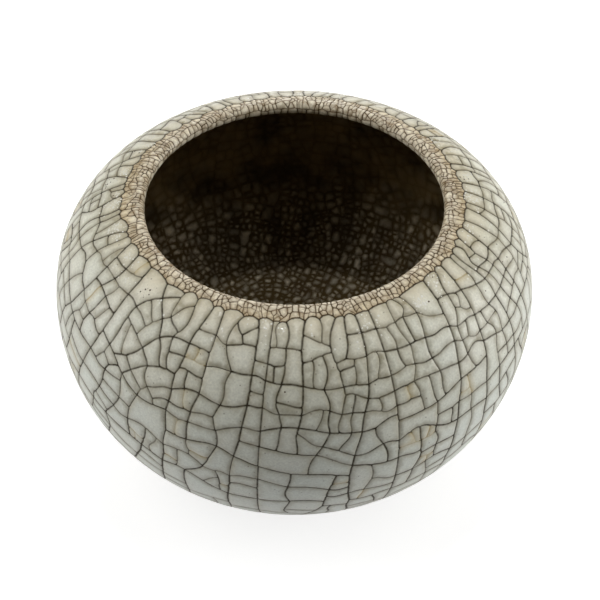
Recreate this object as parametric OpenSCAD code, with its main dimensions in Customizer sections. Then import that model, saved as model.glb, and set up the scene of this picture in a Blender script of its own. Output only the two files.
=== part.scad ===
// Water coupe: a squat round pot with an in-turned mouth, for the water on a writing desk.
// The pot is thrown and turned from one piece of dark stoneware, with a foot ring under it.
// Four coats of thick crackled glaze lie on the clay: the outside wall, the lip, the well and the base.
// Only the foot ring is left bare. Sizes are in millimetres, +Z is up, and the origin is in the middle
// of the foot ring's resting face.

/* [Body] */
// Largest outside diameter, over the glaze
body_d = 100; // [92:1:112]
// Radius of the arc that shapes the belly and the lower wall
lower_r = 40; // [36:0.5:44]
// Radius of the arc that shapes the shoulder
shoulder_r = 22; // [20:0.5:24]
// Angle above the belly line at which the shoulder arc takes over, in degrees
shoulder_start = 12; // [6:1:18]
// Thickness of the wall with its glazes, which is also the thickness of the round lip
wall_t = 3; // [2.4:0.1:4]

/* [Mouth] */
// Clear diameter of the mouth
mouth_d = 60; // [54:1:66]
// Width of the thinly glazed band that runs round the lip on the shoulder
lip_band_w = 2.4; // [2:0.2:6]

/* [Foot] */
// Outside diameter of the foot ring, where the body runs into it
foot_d = 54; // [46:1:60]
// Height of the foot ring
foot_h = 3.2; // [2.5:0.1:5]
// Width of the foot ring at its top
foot_w = 4.5; // [3.6:0.1:7]
// How far the foot ring's outer wall leans in on its way down
foot_lean = 0.8; // [0:0.1:1.4]
// Radius of the rounded edges of the resting face
foot_edge_r = 0.7; // [0.2:0.1:1]
// Depth of the recess turned under the base, in the clay
recess_depth = 3; // [2:0.1:4]

/* [Well] */
// Thickness of the clay in the middle of the floor
floor_t = 4; // [3:0.1:6]
// Radius of the dished floor, over the glaze
floor_r = 90; // [75:1:120]
// Radius of the round corner between wall and floor, over the glaze
well_r = 22; // [18:0.5:25]

/* [Glaze] */
// Thickness of the coat on the outside wall
outer_glaze_t = 0.8; // [0.4:0.1:1]
// Thickness of the coat in the well
inner_glaze_t = 0.5; // [0.3:0.1:0.8]
// Thickness of the coat in the recess under the base
base_glaze_t = 0.5; // [0.3:0.1:1]

/* [Hidden] */

// Greatest turn between two points of an arc in a profile, in degrees
arc_step = 4;
// Number of sides for a round of a full turn
$fn = 96;

body_r = body_d / 2;
mouth_r = mouth_d / 2;
foot_r = foot_d / 2;
recess_r = foot_r - foot_w;
lip_r = wall_t / 2;
clay_t = wall_t - outer_glaze_t - inner_glaze_t;

// The clay's own radii under the coats
lower_clay_r = lower_r - outer_glaze_t;
shoulder_clay_r = shoulder_r - outer_glaze_t;
lip_clay_r = clay_t / 2;

// The lower arc's centre lies on the belly line, which the foot ring and the arc set the height of
belly_x = body_r - lower_r;
foot_angle = acos((foot_r - belly_x) / lower_clay_r);
belly_z = foot_h + lower_clay_r * sin(foot_angle);
belly_c = [belly_x, belly_z];

// The shoulder arc runs on from the lower arc without a corner
shoulder_c = belly_c + (lower_r - shoulder_r) * toward(shoulder_start);

// The lip is the round end of the wall, at the angle where its inner edge stands at the mouth's radius
lip_angle = acos((mouth_r + lip_r - shoulder_c.x) / (shoulder_r - lip_r));
lip_c = shoulder_c + (shoulder_r - lip_r) * toward(lip_angle);
lip_clay_c = shoulder_c + (shoulder_clay_r - lip_clay_r) * toward(lip_angle);
band_angle = lip_angle - lip_band_w / shoulder_r * 180 / PI;

// The outside coat ends level with the top of the foot ring
coat_foot_angle = asin((belly_z - foot_h) / lower_r);

// The well: the wall's inner faces, a dished floor and a round corner that meets both without a corner
well_wall_r = lower_r - wall_t;
well_shoulder_r = shoulder_r - wall_t;
floor_z = recess_depth + floor_t + inner_glaze_t;
floor_c = [0, floor_z + floor_r];
corner_c = meet(belly_c, well_wall_r - well_r, floor_c, floor_r - well_r);
corner_start = heading(belly_c, corner_c);
corner_end = heading(floor_c, corner_c);

// A unit step along an angle, and the angle from one point to another
function toward(a) = [cos(a), sin(a)];
function heading(from, to) = atan2(to.y - from.y, to.x - from.x);

// The outer one of the two points that lie at ra from a and at rb from b
function meet(a, ra, b, rb) =
    let (gap = norm(b - a), along = (ra * ra - rb * rb + gap * gap) / (2 * gap))
    let (dir = (b - a) / gap, side = sqrt(ra * ra - along * along))
    a + along * dir + side * [dir.y, -dir.x];

// The points of an arc from one angle to another, either way round
function arc(c, r, from, to) =
    let (steps = max(1, ceil(abs(to - from) / arc_step)))
    [for (i = [0 : steps]) c + r * toward(from + (to - from) * i / steps)];

function reversed(points) = [for (i = [len(points) - 1 : -1 : 0]) points[i]];

// Faces as outlines, each from the foot towards the lip
function outer_face(lower, shoulder, start) =
    concat(arc(belly_c, lower, start, shoulder_start), arc(shoulder_c, shoulder, shoulder_start, band_angle));
function band_face(shoulder) = arc(shoulder_c, shoulder, band_angle, lip_angle);
function lip_face(c, r) = arc(c, r, lip_angle, lip_angle + 180);

// The well's face from the lip down to the axis, over the glaze or let into the clay by the coat's thickness
function well_face(sunk) = concat(
    arc(shoulder_c, well_shoulder_r + sunk, lip_angle, shoulder_start),
    arc(belly_c, well_wall_r + sunk, shoulder_start, corner_start),
    arc(corner_c, well_r + sunk, corner_start, corner_end),
    arc(floor_c, floor_r + sunk, corner_end, -90)
);

// The foot ring from the recess, round the resting face, up to the body
function foot_face() = concat(
    [[0, recess_depth], [recess_r, recess_depth]],
    arc([recess_r + foot_edge_r, foot_edge_r], foot_edge_r, 180, 270),
    arc([foot_r - foot_lean - foot_edge_r, foot_edge_r], foot_edge_r, -90, 0)
);

// The thrown wall, its round lip, the floor and the turned foot ring, in one piece
module clay_body() {
    color("saddlebrown") rotate_extrude() polygon(concat(
        foot_face(),
        outer_face(lower_clay_r, shoulder_clay_r, -foot_angle),
        band_face(shoulder_clay_r),
        lip_face(lip_clay_c, lip_clay_r),
        well_face(inner_glaze_t)
    ));
}

// The thick grey-white coat from the foot ring up to the lip band
module outer_glaze() {
    color([0.78, 0.78, 0.73]) rotate_extrude() polygon(concat(
        outer_face(lower_r, shoulder_r, -coat_foot_angle),
        reversed(outer_face(lower_clay_r, shoulder_clay_r, -foot_angle))
    ));
}

// The thin beige coat over the lip, from the band on the shoulder round to the well
module lip_glaze() {
    color([0.76, 0.68, 0.57]) rotate_extrude() polygon(concat(
        band_face(shoulder_r),
        lip_face(lip_c, lip_r),
        reversed(lip_face(lip_clay_c, lip_clay_r)),
        reversed(band_face(shoulder_clay_r))
    ));
}

// The dark stained coat in the well
module inner_glaze() {
    color([0.17, 0.14, 0.11]) rotate_extrude() polygon(concat(
        well_face(0),
        reversed(well_face(inner_glaze_t))
    ));
}

// The coat that fills the recess under the base from wall to wall
module base_glaze() {
    color([0.74, 0.74, 0.69]) translate([0, 0, recess_depth - base_glaze_t])
        cylinder(r = recess_r, h = base_glaze_t);
}

clay_body();
outer_glaze();
lip_glaze();
inner_glaze();
base_glaze();
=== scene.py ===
"""Water coupe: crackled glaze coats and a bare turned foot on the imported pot, in a plain studio.

Lengths are in millimetres until a mesh is written. Meshes are in metres, in the frame of the solids.
Points of the pot's section and of the flat map of its glaze are complex numbers.
"""

import logging
import math
import random
from collections import deque
from collections.abc import Iterable, Sequence
from dataclasses import dataclass, field, replace
from enum import Enum
from functools import reduce
from typing import Any

import bpy
import numpy as np
from mathutils.geometry import delaunay_2d_cdt
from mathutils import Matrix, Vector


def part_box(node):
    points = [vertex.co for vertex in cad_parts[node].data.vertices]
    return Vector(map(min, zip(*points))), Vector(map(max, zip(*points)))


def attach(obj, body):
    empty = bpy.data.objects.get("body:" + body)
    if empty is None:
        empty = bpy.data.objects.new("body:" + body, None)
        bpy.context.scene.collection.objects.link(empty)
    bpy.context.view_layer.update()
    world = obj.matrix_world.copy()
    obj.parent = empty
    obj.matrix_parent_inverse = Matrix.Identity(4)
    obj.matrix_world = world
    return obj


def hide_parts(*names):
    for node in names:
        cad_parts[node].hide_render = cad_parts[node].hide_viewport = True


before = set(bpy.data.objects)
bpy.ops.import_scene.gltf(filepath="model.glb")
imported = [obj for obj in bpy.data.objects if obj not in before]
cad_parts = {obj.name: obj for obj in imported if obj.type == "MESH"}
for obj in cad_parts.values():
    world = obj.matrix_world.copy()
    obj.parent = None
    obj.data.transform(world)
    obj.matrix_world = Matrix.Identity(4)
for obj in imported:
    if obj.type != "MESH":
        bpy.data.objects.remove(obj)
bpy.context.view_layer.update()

LOG = logging.getLogger("water_coupe")
MM = 0.001
TINY = 1e-12
COAT_VALUES = ("crack", "gold", "rust", "tone", "blush", "reach", "stain")

Piece = bpy.types.Object
Material = bpy.types.Material
Socket = bpy.types.NodeSocket
Side = tuple[int, int]
Spot = tuple[complex, complex, float]


# The pot's section and the flat map of its glazed face


def toward(degrees: float) -> complex:
    """A unit step along an angle, as radius and height."""
    return complex(math.cos(math.radians(degrees)), math.sin(math.radians(degrees)))


def heading(start: complex, end: complex) -> float:
    """The angle from one point to another, in degrees."""
    return math.degrees(math.atan2((end - start).imag, (end - start).real))


def meet(a: complex, a_reach: float, b: complex, b_reach: float) -> complex:
    """The outer one of the two points at a given reach from two others.

    Args:
        a: the first point.
        a_reach: distance of the result from the first point.
        b: the second point.
        b_reach: distance of the result from the second point.

    Returns:
        The point on the right of the way from a to b.
    """
    gap = abs(b - a)
    step = (a_reach**2 - b_reach**2 + gap**2) / (2 * gap)
    ahead = (b - a) / gap
    return a + ahead * complex(step, -math.sqrt(a_reach**2 - step**2))


@dataclass(frozen=True)
class Arc:
    """A round stretch of the glazed face."""

    centre: complex
    radius: float
    start: float  # the angle where it starts, in degrees
    end: float  # the angle where it ends
    facing: int  # 1 where the glaze faces away from the centre, -1 where it faces towards it
    coat: tuple[float, float]  # the glaze's thickness at the start and at the end

    def length(self) -> float:
        """The stretch's length."""
        return abs(math.radians(self.end - self.start)) * self.radius

    def at(self, share: float) -> Spot:
        """Finds a point of the stretch.

        Args:
            share: the share of the way to it.

        Returns:
            The point, the facing direction and the coat's thickness.
        """
        out = toward(self.start + (self.end - self.start) * share)
        coat = self.coat[0] + (self.coat[1] - self.coat[0]) * share
        return self.centre + self.radius * out, self.facing * out, coat


@dataclass(frozen=True)
class Straight:
    """A straight stretch of the glazed face, with the direction that it faces."""

    start: complex
    end: complex
    facing: complex
    coat: float

    def length(self) -> float:
        """The stretch's length."""
        return abs(self.end - self.start)

    def at(self, share: float) -> Spot:
        """The point, the facing direction and the coat's thickness at a share of the way."""
        return self.start + (self.end - self.start) * share, self.facing, self.coat


@dataclass(frozen=True)
class PotSection:
    """The sizes that shape the pot's section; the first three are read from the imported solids."""

    body_r: float
    foot_h: float
    recess_r: float
    lower_r: float = 40.0
    shoulder_r: float = 22.0
    shoulder_start: float = 12.0
    wall_t: float = 3.0
    mouth_r: float = 30.0
    lip_band_w: float = 2.4
    foot_r: float = 27.0
    foot_lean: float = 0.8
    foot_edge_r: float = 0.7
    recess_depth: float = 3.0
    floor_t: float = 4.0
    floor_r: float = 90.0
    well_r: float = 22.0
    outer_coat: float = 0.8
    well_coat: float = 0.5
    base_coat: float = 0.5

    @classmethod
    def from_frame(cls) -> "PotSection":
        """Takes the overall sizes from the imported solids.

        Returns:
            The section.
        """
        wall_low, wall_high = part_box("outer_glaze")
        base_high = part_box("base_glaze")[1]
        return cls(body_r=wall_high[0] / MM, foot_h=wall_low[2] / MM, recess_r=base_high[0] / MM)

    @property
    def lip_r(self) -> float:
        """Radius of the round lip."""
        return self.wall_t / 2

    @property
    def belly(self) -> complex:
        """Finds the centre of the lower arc.

        Returns:
            The centre, as radius and height.
        """
        across = self.body_r - self.lower_r
        clay_r = self.lower_r - self.outer_coat
        return complex(across, self.foot_h + math.sqrt(clay_r**2 - (self.foot_r - across) ** 2))

    @property
    def shoulder(self) -> complex:
        """Centre of the shoulder's arc."""
        return self.belly + (self.lower_r - self.shoulder_r) * toward(self.shoulder_start)

    @property
    def lip_angle(self) -> float:
        """Angle at which the shoulder ends in the lip, in degrees."""
        across = self.mouth_r + self.lip_r - self.shoulder.real
        return math.degrees(math.acos(across / (self.shoulder_r - self.lip_r)))

    def outside(self) -> list[Arc]:
        """Draws the glazed face from the foot ring up to the lip.

        Returns:
            Its stretches, in order.
        """
        foot = -math.degrees(math.asin((self.belly.imag - self.foot_h) / self.lower_r))
        coat = (self.outer_coat, self.outer_coat)
        return [
            Arc(self.belly, self.lower_r, foot, self.shoulder_start, 1, coat),
            Arc(self.shoulder, self.shoulder_r, self.shoulder_start, self.lip_angle, 1, coat),
        ]

    def lip(self) -> list[Arc]:
        """Draws the glazed face round the lip.

        Returns:
            Its one stretch.
        """
        centre = self.shoulder + (self.shoulder_r - self.lip_r) * toward(self.lip_angle)
        coat = (self.outer_coat, self.well_coat)
        return [Arc(centre, self.lip_r, self.lip_angle, self.lip_angle + 180, 1, coat)]

    def well(self) -> list[Arc]:
        """Draws the glazed face from the lip down to the middle of the well.

        Returns:
            Its stretches, in order.
        """
        floor = complex(0, self.recess_depth + self.floor_t + self.well_coat + self.floor_r)
        wall_r = self.lower_r - self.wall_t
        corner = meet(self.belly, wall_r - self.well_r, floor, self.floor_r - self.well_r)
        start, end = heading(self.belly, corner), heading(floor, corner)
        coat = (self.well_coat, self.well_coat)
        top_r = self.shoulder_r - self.wall_t
        return [
            Arc(self.shoulder, top_r, self.lip_angle, self.shoulder_start, -1, coat),
            Arc(self.belly, wall_r, self.shoulder_start, start, -1, coat),
            Arc(corner, self.well_r, start, end, -1, coat),
            Arc(floor, self.floor_r, end, -90, -1, coat),
        ]

    def base(self) -> list[Straight]:
        """The glazed face under the base, from the foot ring in to the axis."""
        height = self.recess_depth - self.base_coat
        return [Straight(complex(self.recess_r, height), complex(0, height), -1j, self.base_coat)]


class GlazedFace:
    """A glazed face of revolution with a flat map of it.

    The flat map is a disc. A point's angle there is its angle round the pot, and its distance from the middle
    falls along the face at the rate that keeps small shapes true to form. Points are put a hair under the
    solid's own face, so that the coat stays inside it.
    """

    SPACING = 0.05  # distance between the table's rows
    LEAST_STEPS = 8  # least number of rows on one stretch
    HAIR = 0.02  # how far points lie under the solid's face

    def __init__(self, stretches: Sequence[Arc | Straight], turn: int = 1) -> None:
        """Makes the table that ties the flat map to the face.

        Args:
            stretches: the face's section, from its outer edge to the axis.
            turn: 1 for a face seen from above or outside, -1 for one seen from below.
        """
        rows: list[Spot] = []
        for stretch in stretches:
            count = max(self.LEAST_STEPS, round(stretch.length() / self.SPACING))
            rows += [stretch.at((i + 0.5) / count) for i in range(count)]
        points, self.facing, self.coat = (np.array(column) for column in zip(*rows))
        steps = np.abs(np.diff(points))
        slope = 0.5 * (1 / points.real[1:] + 1 / points.real[:-1])
        narrowing = np.concatenate([[0.0], np.cumsum(steps * slope)])
        self.turn = turn
        self.far = np.concatenate([[0.0], np.cumsum(steps)])
        self.radius, self.height = points.real, points.imag
        self.flat = self.radius[-1] * np.exp(narrowing[-1] - narrowing)
        self.ends = np.cumsum([stretch.length() for stretch in stretches])

    def along(self, flat: np.ndarray | complex) -> np.ndarray:
        """How far along the face points of the flat map lie, from its outer edge."""
        return np.interp(-np.abs(flat), -self.flat, self.far)

    def read(self, column: np.ndarray, along: np.ndarray | float) -> np.ndarray:
        """Reads a column of the table at a distance along the face."""
        return np.interp(along, self.far, column)

    def flat_radius(self, along: np.ndarray | float) -> np.ndarray:
        """The flat map's radius at a distance along the face."""
        return self.read(self.flat, along)

    def real_radius(self, flat: np.ndarray | complex) -> np.ndarray:
        """The distance from the pot's axis of points of the flat map."""
        inner = np.abs(flat) * self.radius[-1] / self.flat[-1]
        return np.where(np.abs(flat) < self.flat[-1], inner, self.read(self.radius, self.along(flat)))

    def unit(self, flat: complex) -> float:
        """The real length of one unit of the flat map at a point of it."""
        away = max(abs(flat), self.flat[-1])
        return float(self.real_radius(away) / away)

    def place(self, flat: np.ndarray, sunk: np.ndarray | float, clay: bool = False) -> np.ndarray:
        """Puts points of the flat map on the pot.

        Args:
            flat: the points.
            sunk: how far they lie under the face.
            clay: whether they lie on the clay, under the coat's whole thickness.

        Returns:
            Their places in metres, one row each.
        """
        along = self.along(flat)
        deep = self.HAIR + (self.read(self.coat, along) if clay else sunk)
        radius = self.real_radius(flat) - deep * self.read(self.facing.real, along)
        height = self.read(self.height, along) - deep * self.read(self.facing.imag, along)
        angle = self.turn * np.angle(flat)
        return np.column_stack([radius * np.cos(angle), radius * np.sin(angle), height]) * MM


# Cracks


class Zone(Enum):
    """The parts of the glaze that crack each in its own way."""

    WALL = "outside wall"
    BAND = "fine band along the lip"
    RIM = "inner side of the lip"
    WELL = "well"
    BASE = "underside"


@dataclass(frozen=True)
class Fade:
    """A value that changes from near to far over a stretch of the distance from the lip."""

    near: float
    far: float
    start: float = 0.0
    end: float = 1.0

    def at(self, distance: float) -> float:
        """The value at a distance from the lip."""
        share = min(1.0, max(0.0, (distance - self.start) / (self.end - self.start)))
        return self.near + (self.far - self.near) * share


@dataclass(frozen=True)
class CrackRule:
    """How one zone of the glaze has cracked."""

    cell_area: Fade  # area past which a cell cracks again, in square millimetres
    tallness: Fade = Fade(1.0, 1.0)  # how much longer than wide a cell may be, towards the lip
    variety: float = 0.38
    least_area: float = 1.0  # area under which no cell cracks
    lean: Fade = Fade(0.2, 0.2)  # spread of a crack's turn from straight across its cell, in radians
    catch: float = 0.7  # distance within which a crack's end runs on from another crack's end
    run_on: float = 0.7  # share of the ends that do so
    keep_off: float = 0.4  # least distance of an end from a corner
    squareness: float = 0.35  # how far an end turns to meet its border squarely, from 0 to 1
    step: float = 0.7  # spacing of the points along a crack
    bow: float = 0.04  # spread of a crack's bow, as a share of its length
    shake: float = 0.02  # spread of a crack's small kinks
    strength: tuple[float, float] = (0.6, 1.0)  # weakest and strongest stain of its cracks
    settle: int = 1  # rounds in which the cracks' meetings settle, as in a foam


RULES = {
    Zone.WALL: CrackRule(
        cell_area=Fade(20.5, 46, 17, 50), tallness=Fade(1.9, 1.0, 4, 16), variety=0.4, least_area=3.0,
        lean=Fade(0.1, 0.26, 4, 14), catch=2.2, run_on=0.9, keep_off=1.2, squareness=0.42,
        bow=0.065, shake=0.04, strength=(0.58, 0.95), settle=2,
    ),
    Zone.BAND: CrackRule(
        cell_area=Fade(2.2, 2.2), tallness=Fade(1.3, 1.3), variety=0.45, least_area=0.45,
        lean=Fade(0.3, 0.3), catch=0.4, run_on=0.5, keep_off=0.3, step=0.4,
        bow=0.08, shake=0.05, strength=(0.4, 1.0), settle=9,
    ),
    Zone.RIM: CrackRule(
        cell_area=Fade(7.5, 7.5), tallness=Fade(2.2, 2.2), variety=0.4, least_area=1.2,
        lean=Fade(0.4, 0.4), catch=0.5, run_on=0.5, step=0.5,
        bow=0.08, shake=0.04, strength=(0.45, 1.0), settle=4,
    ),
    Zone.WELL: CrackRule(cell_area=Fade(13, 4.0, 38, 56), step=1.0, settle=4),
    Zone.BASE: CrackRule(
        cell_area=Fade(30, 30), least_area=3.5, lean=Fade(0.25, 0.25), catch=1.2, keep_off=0.7, step=0.9,
        strength=(0.5, 0.9),
    ),
}


@dataclass(frozen=True)
class Crack:
    """One stretch of crack: how dark its stain is, and whether it is a late golden thread."""

    strength: float
    golden: bool = False


@dataclass(frozen=True)
class CrackEnd:
    """Where a crack ends on the border of its cell: at a corner of the outline or along a side."""

    index: int
    place: complex
    on_corner: bool
    border: complex


def round_pairs(loop: list[int]) -> Iterable[Side]:
    """Each item of a closed loop with the one after it."""
    return zip(loop, loop[1:] + loop[:1])


def side_of(a: int, b: int) -> Side:
    """The side between two points, whichever way it is walked."""
    return (a, b) if a < b else (b, a)


def cross(a: np.ndarray | complex, b: np.ndarray | complex) -> np.ndarray:
    """The cross product of two steps on the flat map."""
    return a.real * b.imag - a.imag * b.real


def twice_area(points: np.ndarray) -> float:
    """Twice the area inside a loop of points that runs counter-clockwise."""
    return float(cross(points, np.roll(points, -1)).sum())


class Outline:
    """The outline of one cell on the flat map, with what a new crack needs to know of it."""

    CORNER = math.radians(28)  # turn from which a point counts as a corner
    AHEAD = 1e-6  # least way to a side that is met

    def __init__(self, points: np.ndarray, unit: float = 1.0) -> None:
        """Measures the outline.

        Args:
            points: its corners, counter-clockwise.
            unit: the real length of one unit of the flat map there.
        """
        self.points, self.unit = points, unit
        self.next = np.roll(points, -1)
        self.sides = self.next - points
        self.lengths = np.abs(self.sides)
        self.reach = np.concatenate([[0.0], np.cumsum(self.lengths)])
        turn = np.angle(self.sides / np.roll(self.sides, 1))
        self.is_corner = np.abs(turn) > self.CORNER

    def area(self) -> float:
        """Its real area."""
        return twice_area(self.points) / 2 * self.unit**2

    def long_axis(self, tallness: float, uphill: complex) -> tuple[complex, complex, float]:
        """Finds the cell's middle and the way that it is longest, from its second moments.

        Args:
            tallness: how much longer than wide a cell may be uphill and still count as even.
            uphill: direction of the pot's section at the cell.

        Returns:
            The middle, the direction of the long axis and how slender the cell is.
        """
        mean = self.points.mean()
        turned = (self.points - mean) * uphill.conjugate()
        x, y = turned.real / tallness, turned.imag
        xn, yn = np.roll(x, -1), np.roll(y, -1)
        spin = x * yn - xn * y
        area = spin.sum() / 2
        mx, my = ((x + xn) * spin).sum() / (6 * area), ((y + yn) * spin).sum() / (6 * area)
        x, y, xn, yn = x - mx, y - my, xn - mx, yn - my
        spin = x * yn - xn * y
        xx = ((x * x + x * xn + xn * xn) * spin).sum() / 12
        yy = ((y * y + y * yn + yn * yn) * spin).sum() / 12
        xy = ((x * yn + 2 * x * y + 2 * xn * yn + xn * y) * spin).sum() / 24
        spread, mid = math.hypot((xx - yy) / 2, xy), (xx + yy) / 2
        slender = math.sqrt((mid + spread) / max(mid - spread, TINY))
        tilt = 0.5 * math.atan2(2 * xy, xx - yy)
        axis = complex(math.cos(tilt) * tallness, math.sin(tilt))
        return mean + complex(mx * tallness, my) * uphill, axis / abs(axis) * uphill, slender

    def first_side(self, start: complex, way: complex) -> tuple[int, float] | None:
        """Finds the side that a straight line first meets.

        Args:
            start: the point inside where it sets out.
            way: its direction.

        Returns:
            The side and the share along it, or None where it meets none.
        """
        rate = cross(way, self.sides)
        rate = np.where(np.abs(rate) < TINY, TINY, rate)
        gap = self.points - start
        far, share = cross(gap, self.sides) / rate, cross(gap, way) / rate
        met = (far > self.AHEAD) & (share >= 0) & (share < 1)
        if not met.any():
            return None
        side = int(np.where(met, far, np.inf).argmin())
        return side, float(share[side])

    def holds(self, points: np.ndarray) -> np.ndarray:
        """Tells which points lie inside.

        Args:
            points: the points.

        Returns:
            Whether each one does.
        """
        x, y = points.real[:, None], points.imag[:, None]
        passes = (self.points.imag > y) != (self.next.imag > y)
        rise = np.where(self.sides.imag == 0, TINY, self.sides.imag)
        crossing = self.sides.real * (y - self.points.imag) / rise + self.points.real
        return (passes & (x < crossing)).sum(axis=1) % 2 == 1

    def part(self, start: CrackEnd, end: CrackEnd, path: np.ndarray) -> float:
        """Measures one of the two parts that a line cuts off.

        Args:
            start: where the line starts on the border.
            end: where it ends.
            path: its points.

        Returns:
            The share of the area on its right.
        """
        count = len(self.points)
        stop = end.index - 1 if end.on_corner else end.index
        steps = (stop - start.index) % count
        kept = [(start.index + 1 + i) % count for i in range(steps)]
        ring = np.concatenate([[start.place], self.points[kept], path[::-1][:-1]])
        return twice_area(ring) / 2 * self.unit**2 / self.area()


class CrackNet:
    """Cells of glaze and the cracks between them, on the flat map of one face."""

    ASTRAY = 0.3  # how far a long crack starts from its even place, in spacings
    CROWDED = 3  # the even spacing of long cracks' ends is divided by this to get the least one
    CLEAR = 0.3  # least room between two long cracks, as a share of their spacing
    CALMS = (1.0, 0.7, 0.4, 0.0)  # shares of its full waves that a long crack is tried with
    SWAY = (3.0, 0.06)  # a long crack's greatest waves, as a length and as a share of its own
    WANDER = 0.8  # spread of its first wave, as a share of the greatest
    LONG_WAVES = range(1, 5)  # half waves along a long crack
    SMALL_WAVES = range(8, 22)  # half waves of its small kinks
    EARLY = 4  # times the usual area of a cell from which its crack is an early one
    EARLY_STRENGTH = (0.85, 1.0)  # stain of long and early cracks
    SLENDER = 2.6  # how slender a cell is that cracks at half the usual area
    EASES = (1.0, 0.7, 0.4)  # shares of its limits that a crack is tried with
    THREAD_STRENGTH = (0.4, 0.7)  # stain of golden threads
    SECOND_THREAD = 0.4  # share of the golden threads that a second one meets
    ARCH = (0.28, 2.6)  # an arch's greatest height as a share of its width, and how flat its top is
    ARCH_SPREAD = (0.3, 1.4)  # least and greatest factor on an arch's height
    WAVE_SPREAD = (0.6, 1.4)  # least and greatest number of waves round a ring, as shares of the mean
    EDGE = 0.9999  # share of the flat map's radius beyond which nothing settles
    EASE = 0.35  # share of the way to its neighbours' middle that a point settles in one round

    def __init__(self, face: GlazedFace, lip_at: float, seed: int) -> None:
        """Starts an empty net.

        Args:
            face: the face that cracks.
            lip_at: how far along the face the fine band by the lip starts.
            seed: fixes the random draws.
        """
        self.face, self.lip_at = face, lip_at
        self.random = random.Random(seed)
        self.points: list[complex] = []
        self.meeting: list[int] = []
        self.cells: dict[int, list[int]] = {}
        self.zones: dict[int, Zone] = {}
        self.left_of: dict[Side, int] = {}
        self.cracks: dict[Side, Crack] = {}
        self.made = 0

    def add_point(self, place: complex) -> int:
        """Adds a point of a crack.

        Args:
            place: its place.

        Returns:
            Its number.
        """
        self.points.append(complex(place))
        self.meeting.append(2)
        return len(self.points) - 1

    def places(self, chain: Iterable[int]) -> np.ndarray:
        """The places of some points."""
        return np.array([self.points[v] for v in chain])

    def lay(self, chain: Sequence[int], crack: Crack) -> None:
        """Lays a crack along a chain of points."""
        for a, b in zip(chain, chain[1:]):
            self.cracks[side_of(a, b)] = crack

    def add_cell(self, loop: list[int], zone: Zone) -> int:
        """Adds a cell.

        Args:
            loop: its border, counter-clockwise.
            zone: its zone.

        Returns:
            Its number.
        """
        cell = self.made
        self.made += 1
        self.cells[cell], self.zones[cell] = loop, zone
        for side in round_pairs(loop):
            self.left_of[side] = cell
        return cell

    def outline(self, cell: int) -> Outline:
        """The outline of a cell."""
        points = self.places(self.cells[cell])
        return Outline(points, self.face.unit(points.mean()))

    def from_lip(self, place: complex) -> float:
        """How far a point lies from the fine band by the lip, either way."""
        return abs(float(self.face.along(place)) - self.lip_at)

    def ring(
        self, along: float, spacing: float, strength: float, waves: Iterable[tuple[int, float]] = ()
    ) -> list[int]:
        """Lays a crack right round the pot.

        Args:
            along: how far along the face it runs, on average.
            spacing: distance between its points.
            strength: how dark its stain is.
            waves: for each set of waves, how many go round and how far they sway.

        Returns:
            Its points, counter-clockwise.
        """
        around = 2 * math.pi * float(self.face.read(self.face.radius, along))
        turn = np.linspace(0, 2 * math.pi, round(around / spacing), endpoint=False)
        sway = np.zeros_like(turn)
        for count, far in waves:
            least, most = (round(count * share) for share in self.WAVE_SPREAD)
            spread = range(max(1, least), most + 1)
            for waves_round in spread:
                size = far * self.random.gauss(0, 1) / math.sqrt(len(spread))
                sway += size * np.sin(waves_round * turn + self.random.uniform(0, 2 * math.pi))
        loop = [self.add_point(w) for w in self.face.flat_radius(along + sway) * np.exp(1j * turn)]
        self.lay(loop + loop[:1], Crack(strength))
        return loop

    def strips(self, outer: list[int], inner: list[int], count: int, zone: Zone, sway: float) -> None:
        """Cuts the glaze between two rings into strips by long cracks that wander across.

        Args:
            outer: the ring that lies further out on the flat map.
            inner: the ring that lies further in.
            count: number of long cracks.
            zone: the zone that the strips belong to.
            sway: spread of a crack's sideways drift, in radians round the pot.
        """
        out_turn, in_turn = np.angle(self.places(outer)), np.angle(self.places(inner))
        starts, ends = [], []
        for i in range(count):
            turn = (i + 0.5 + self.random.uniform(-self.ASTRAY, self.ASTRAY)) / count * 2 * math.pi
            drift = self.random.gauss(0, sway)
            starts.append(self.nearest(out_turn - turn))
            ends.append(self.nearest(in_turn - turn - drift))
        order = sorted(range(count), key=lambda i: starts[i])
        first = min(range(count), key=lambda i: ends[order[i]])
        gap = max(1, len(inner) // (self.CROWDED * count))
        starts, ends = self.apart(starts, len(outer), 1), self.apart(ends, len(inner), gap)
        ends = [ends[(i - first) % count] for i in range(count)]
        lines = self.long_cracks([outer[s] for s in starts], [inner[e] for e in ends], RULES[zone])
        for i in range(count):
            j = (i + 1) % count
            outside = self.stretch(outer, starts[i], starts[j])
            inside = self.stretch(inner, ends[i], ends[j])
            self.add_cell(outside + lines[j][1:-1] + inside[::-1] + lines[i][1:-1][::-1], zone)

    @staticmethod
    def nearest(turns: np.ndarray) -> int:
        """The number of the smallest of some turns, either way round."""
        return int(np.abs(np.angle(np.exp(1j * turns))).argmin())

    @staticmethod
    def apart(places: Sequence[int], total: int, gap: int) -> list[int]:
        """Puts places on a ring in order and moves on those that come too near.

        Args:
            places: the places.
            total: how many the ring has.
            gap: least gap between two.

        Returns:
            The places, in order.
        """
        ordered = sorted(places)
        for i in range(1, len(ordered)):
            ordered[i] = max(ordered[i], ordered[i - 1] + gap)
        if ordered[-1] >= total:
            raise ValueError("too many long cracks for the points of a ring")
        return ordered

    @staticmethod
    def stretch(loop: list[int], start: int, end: int) -> list[int]:
        """The points of a ring from one place to another, going round past its end if need be."""
        return loop[start : end + 1] if end > start else loop[start:] + loop[: end + 1]

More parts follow.
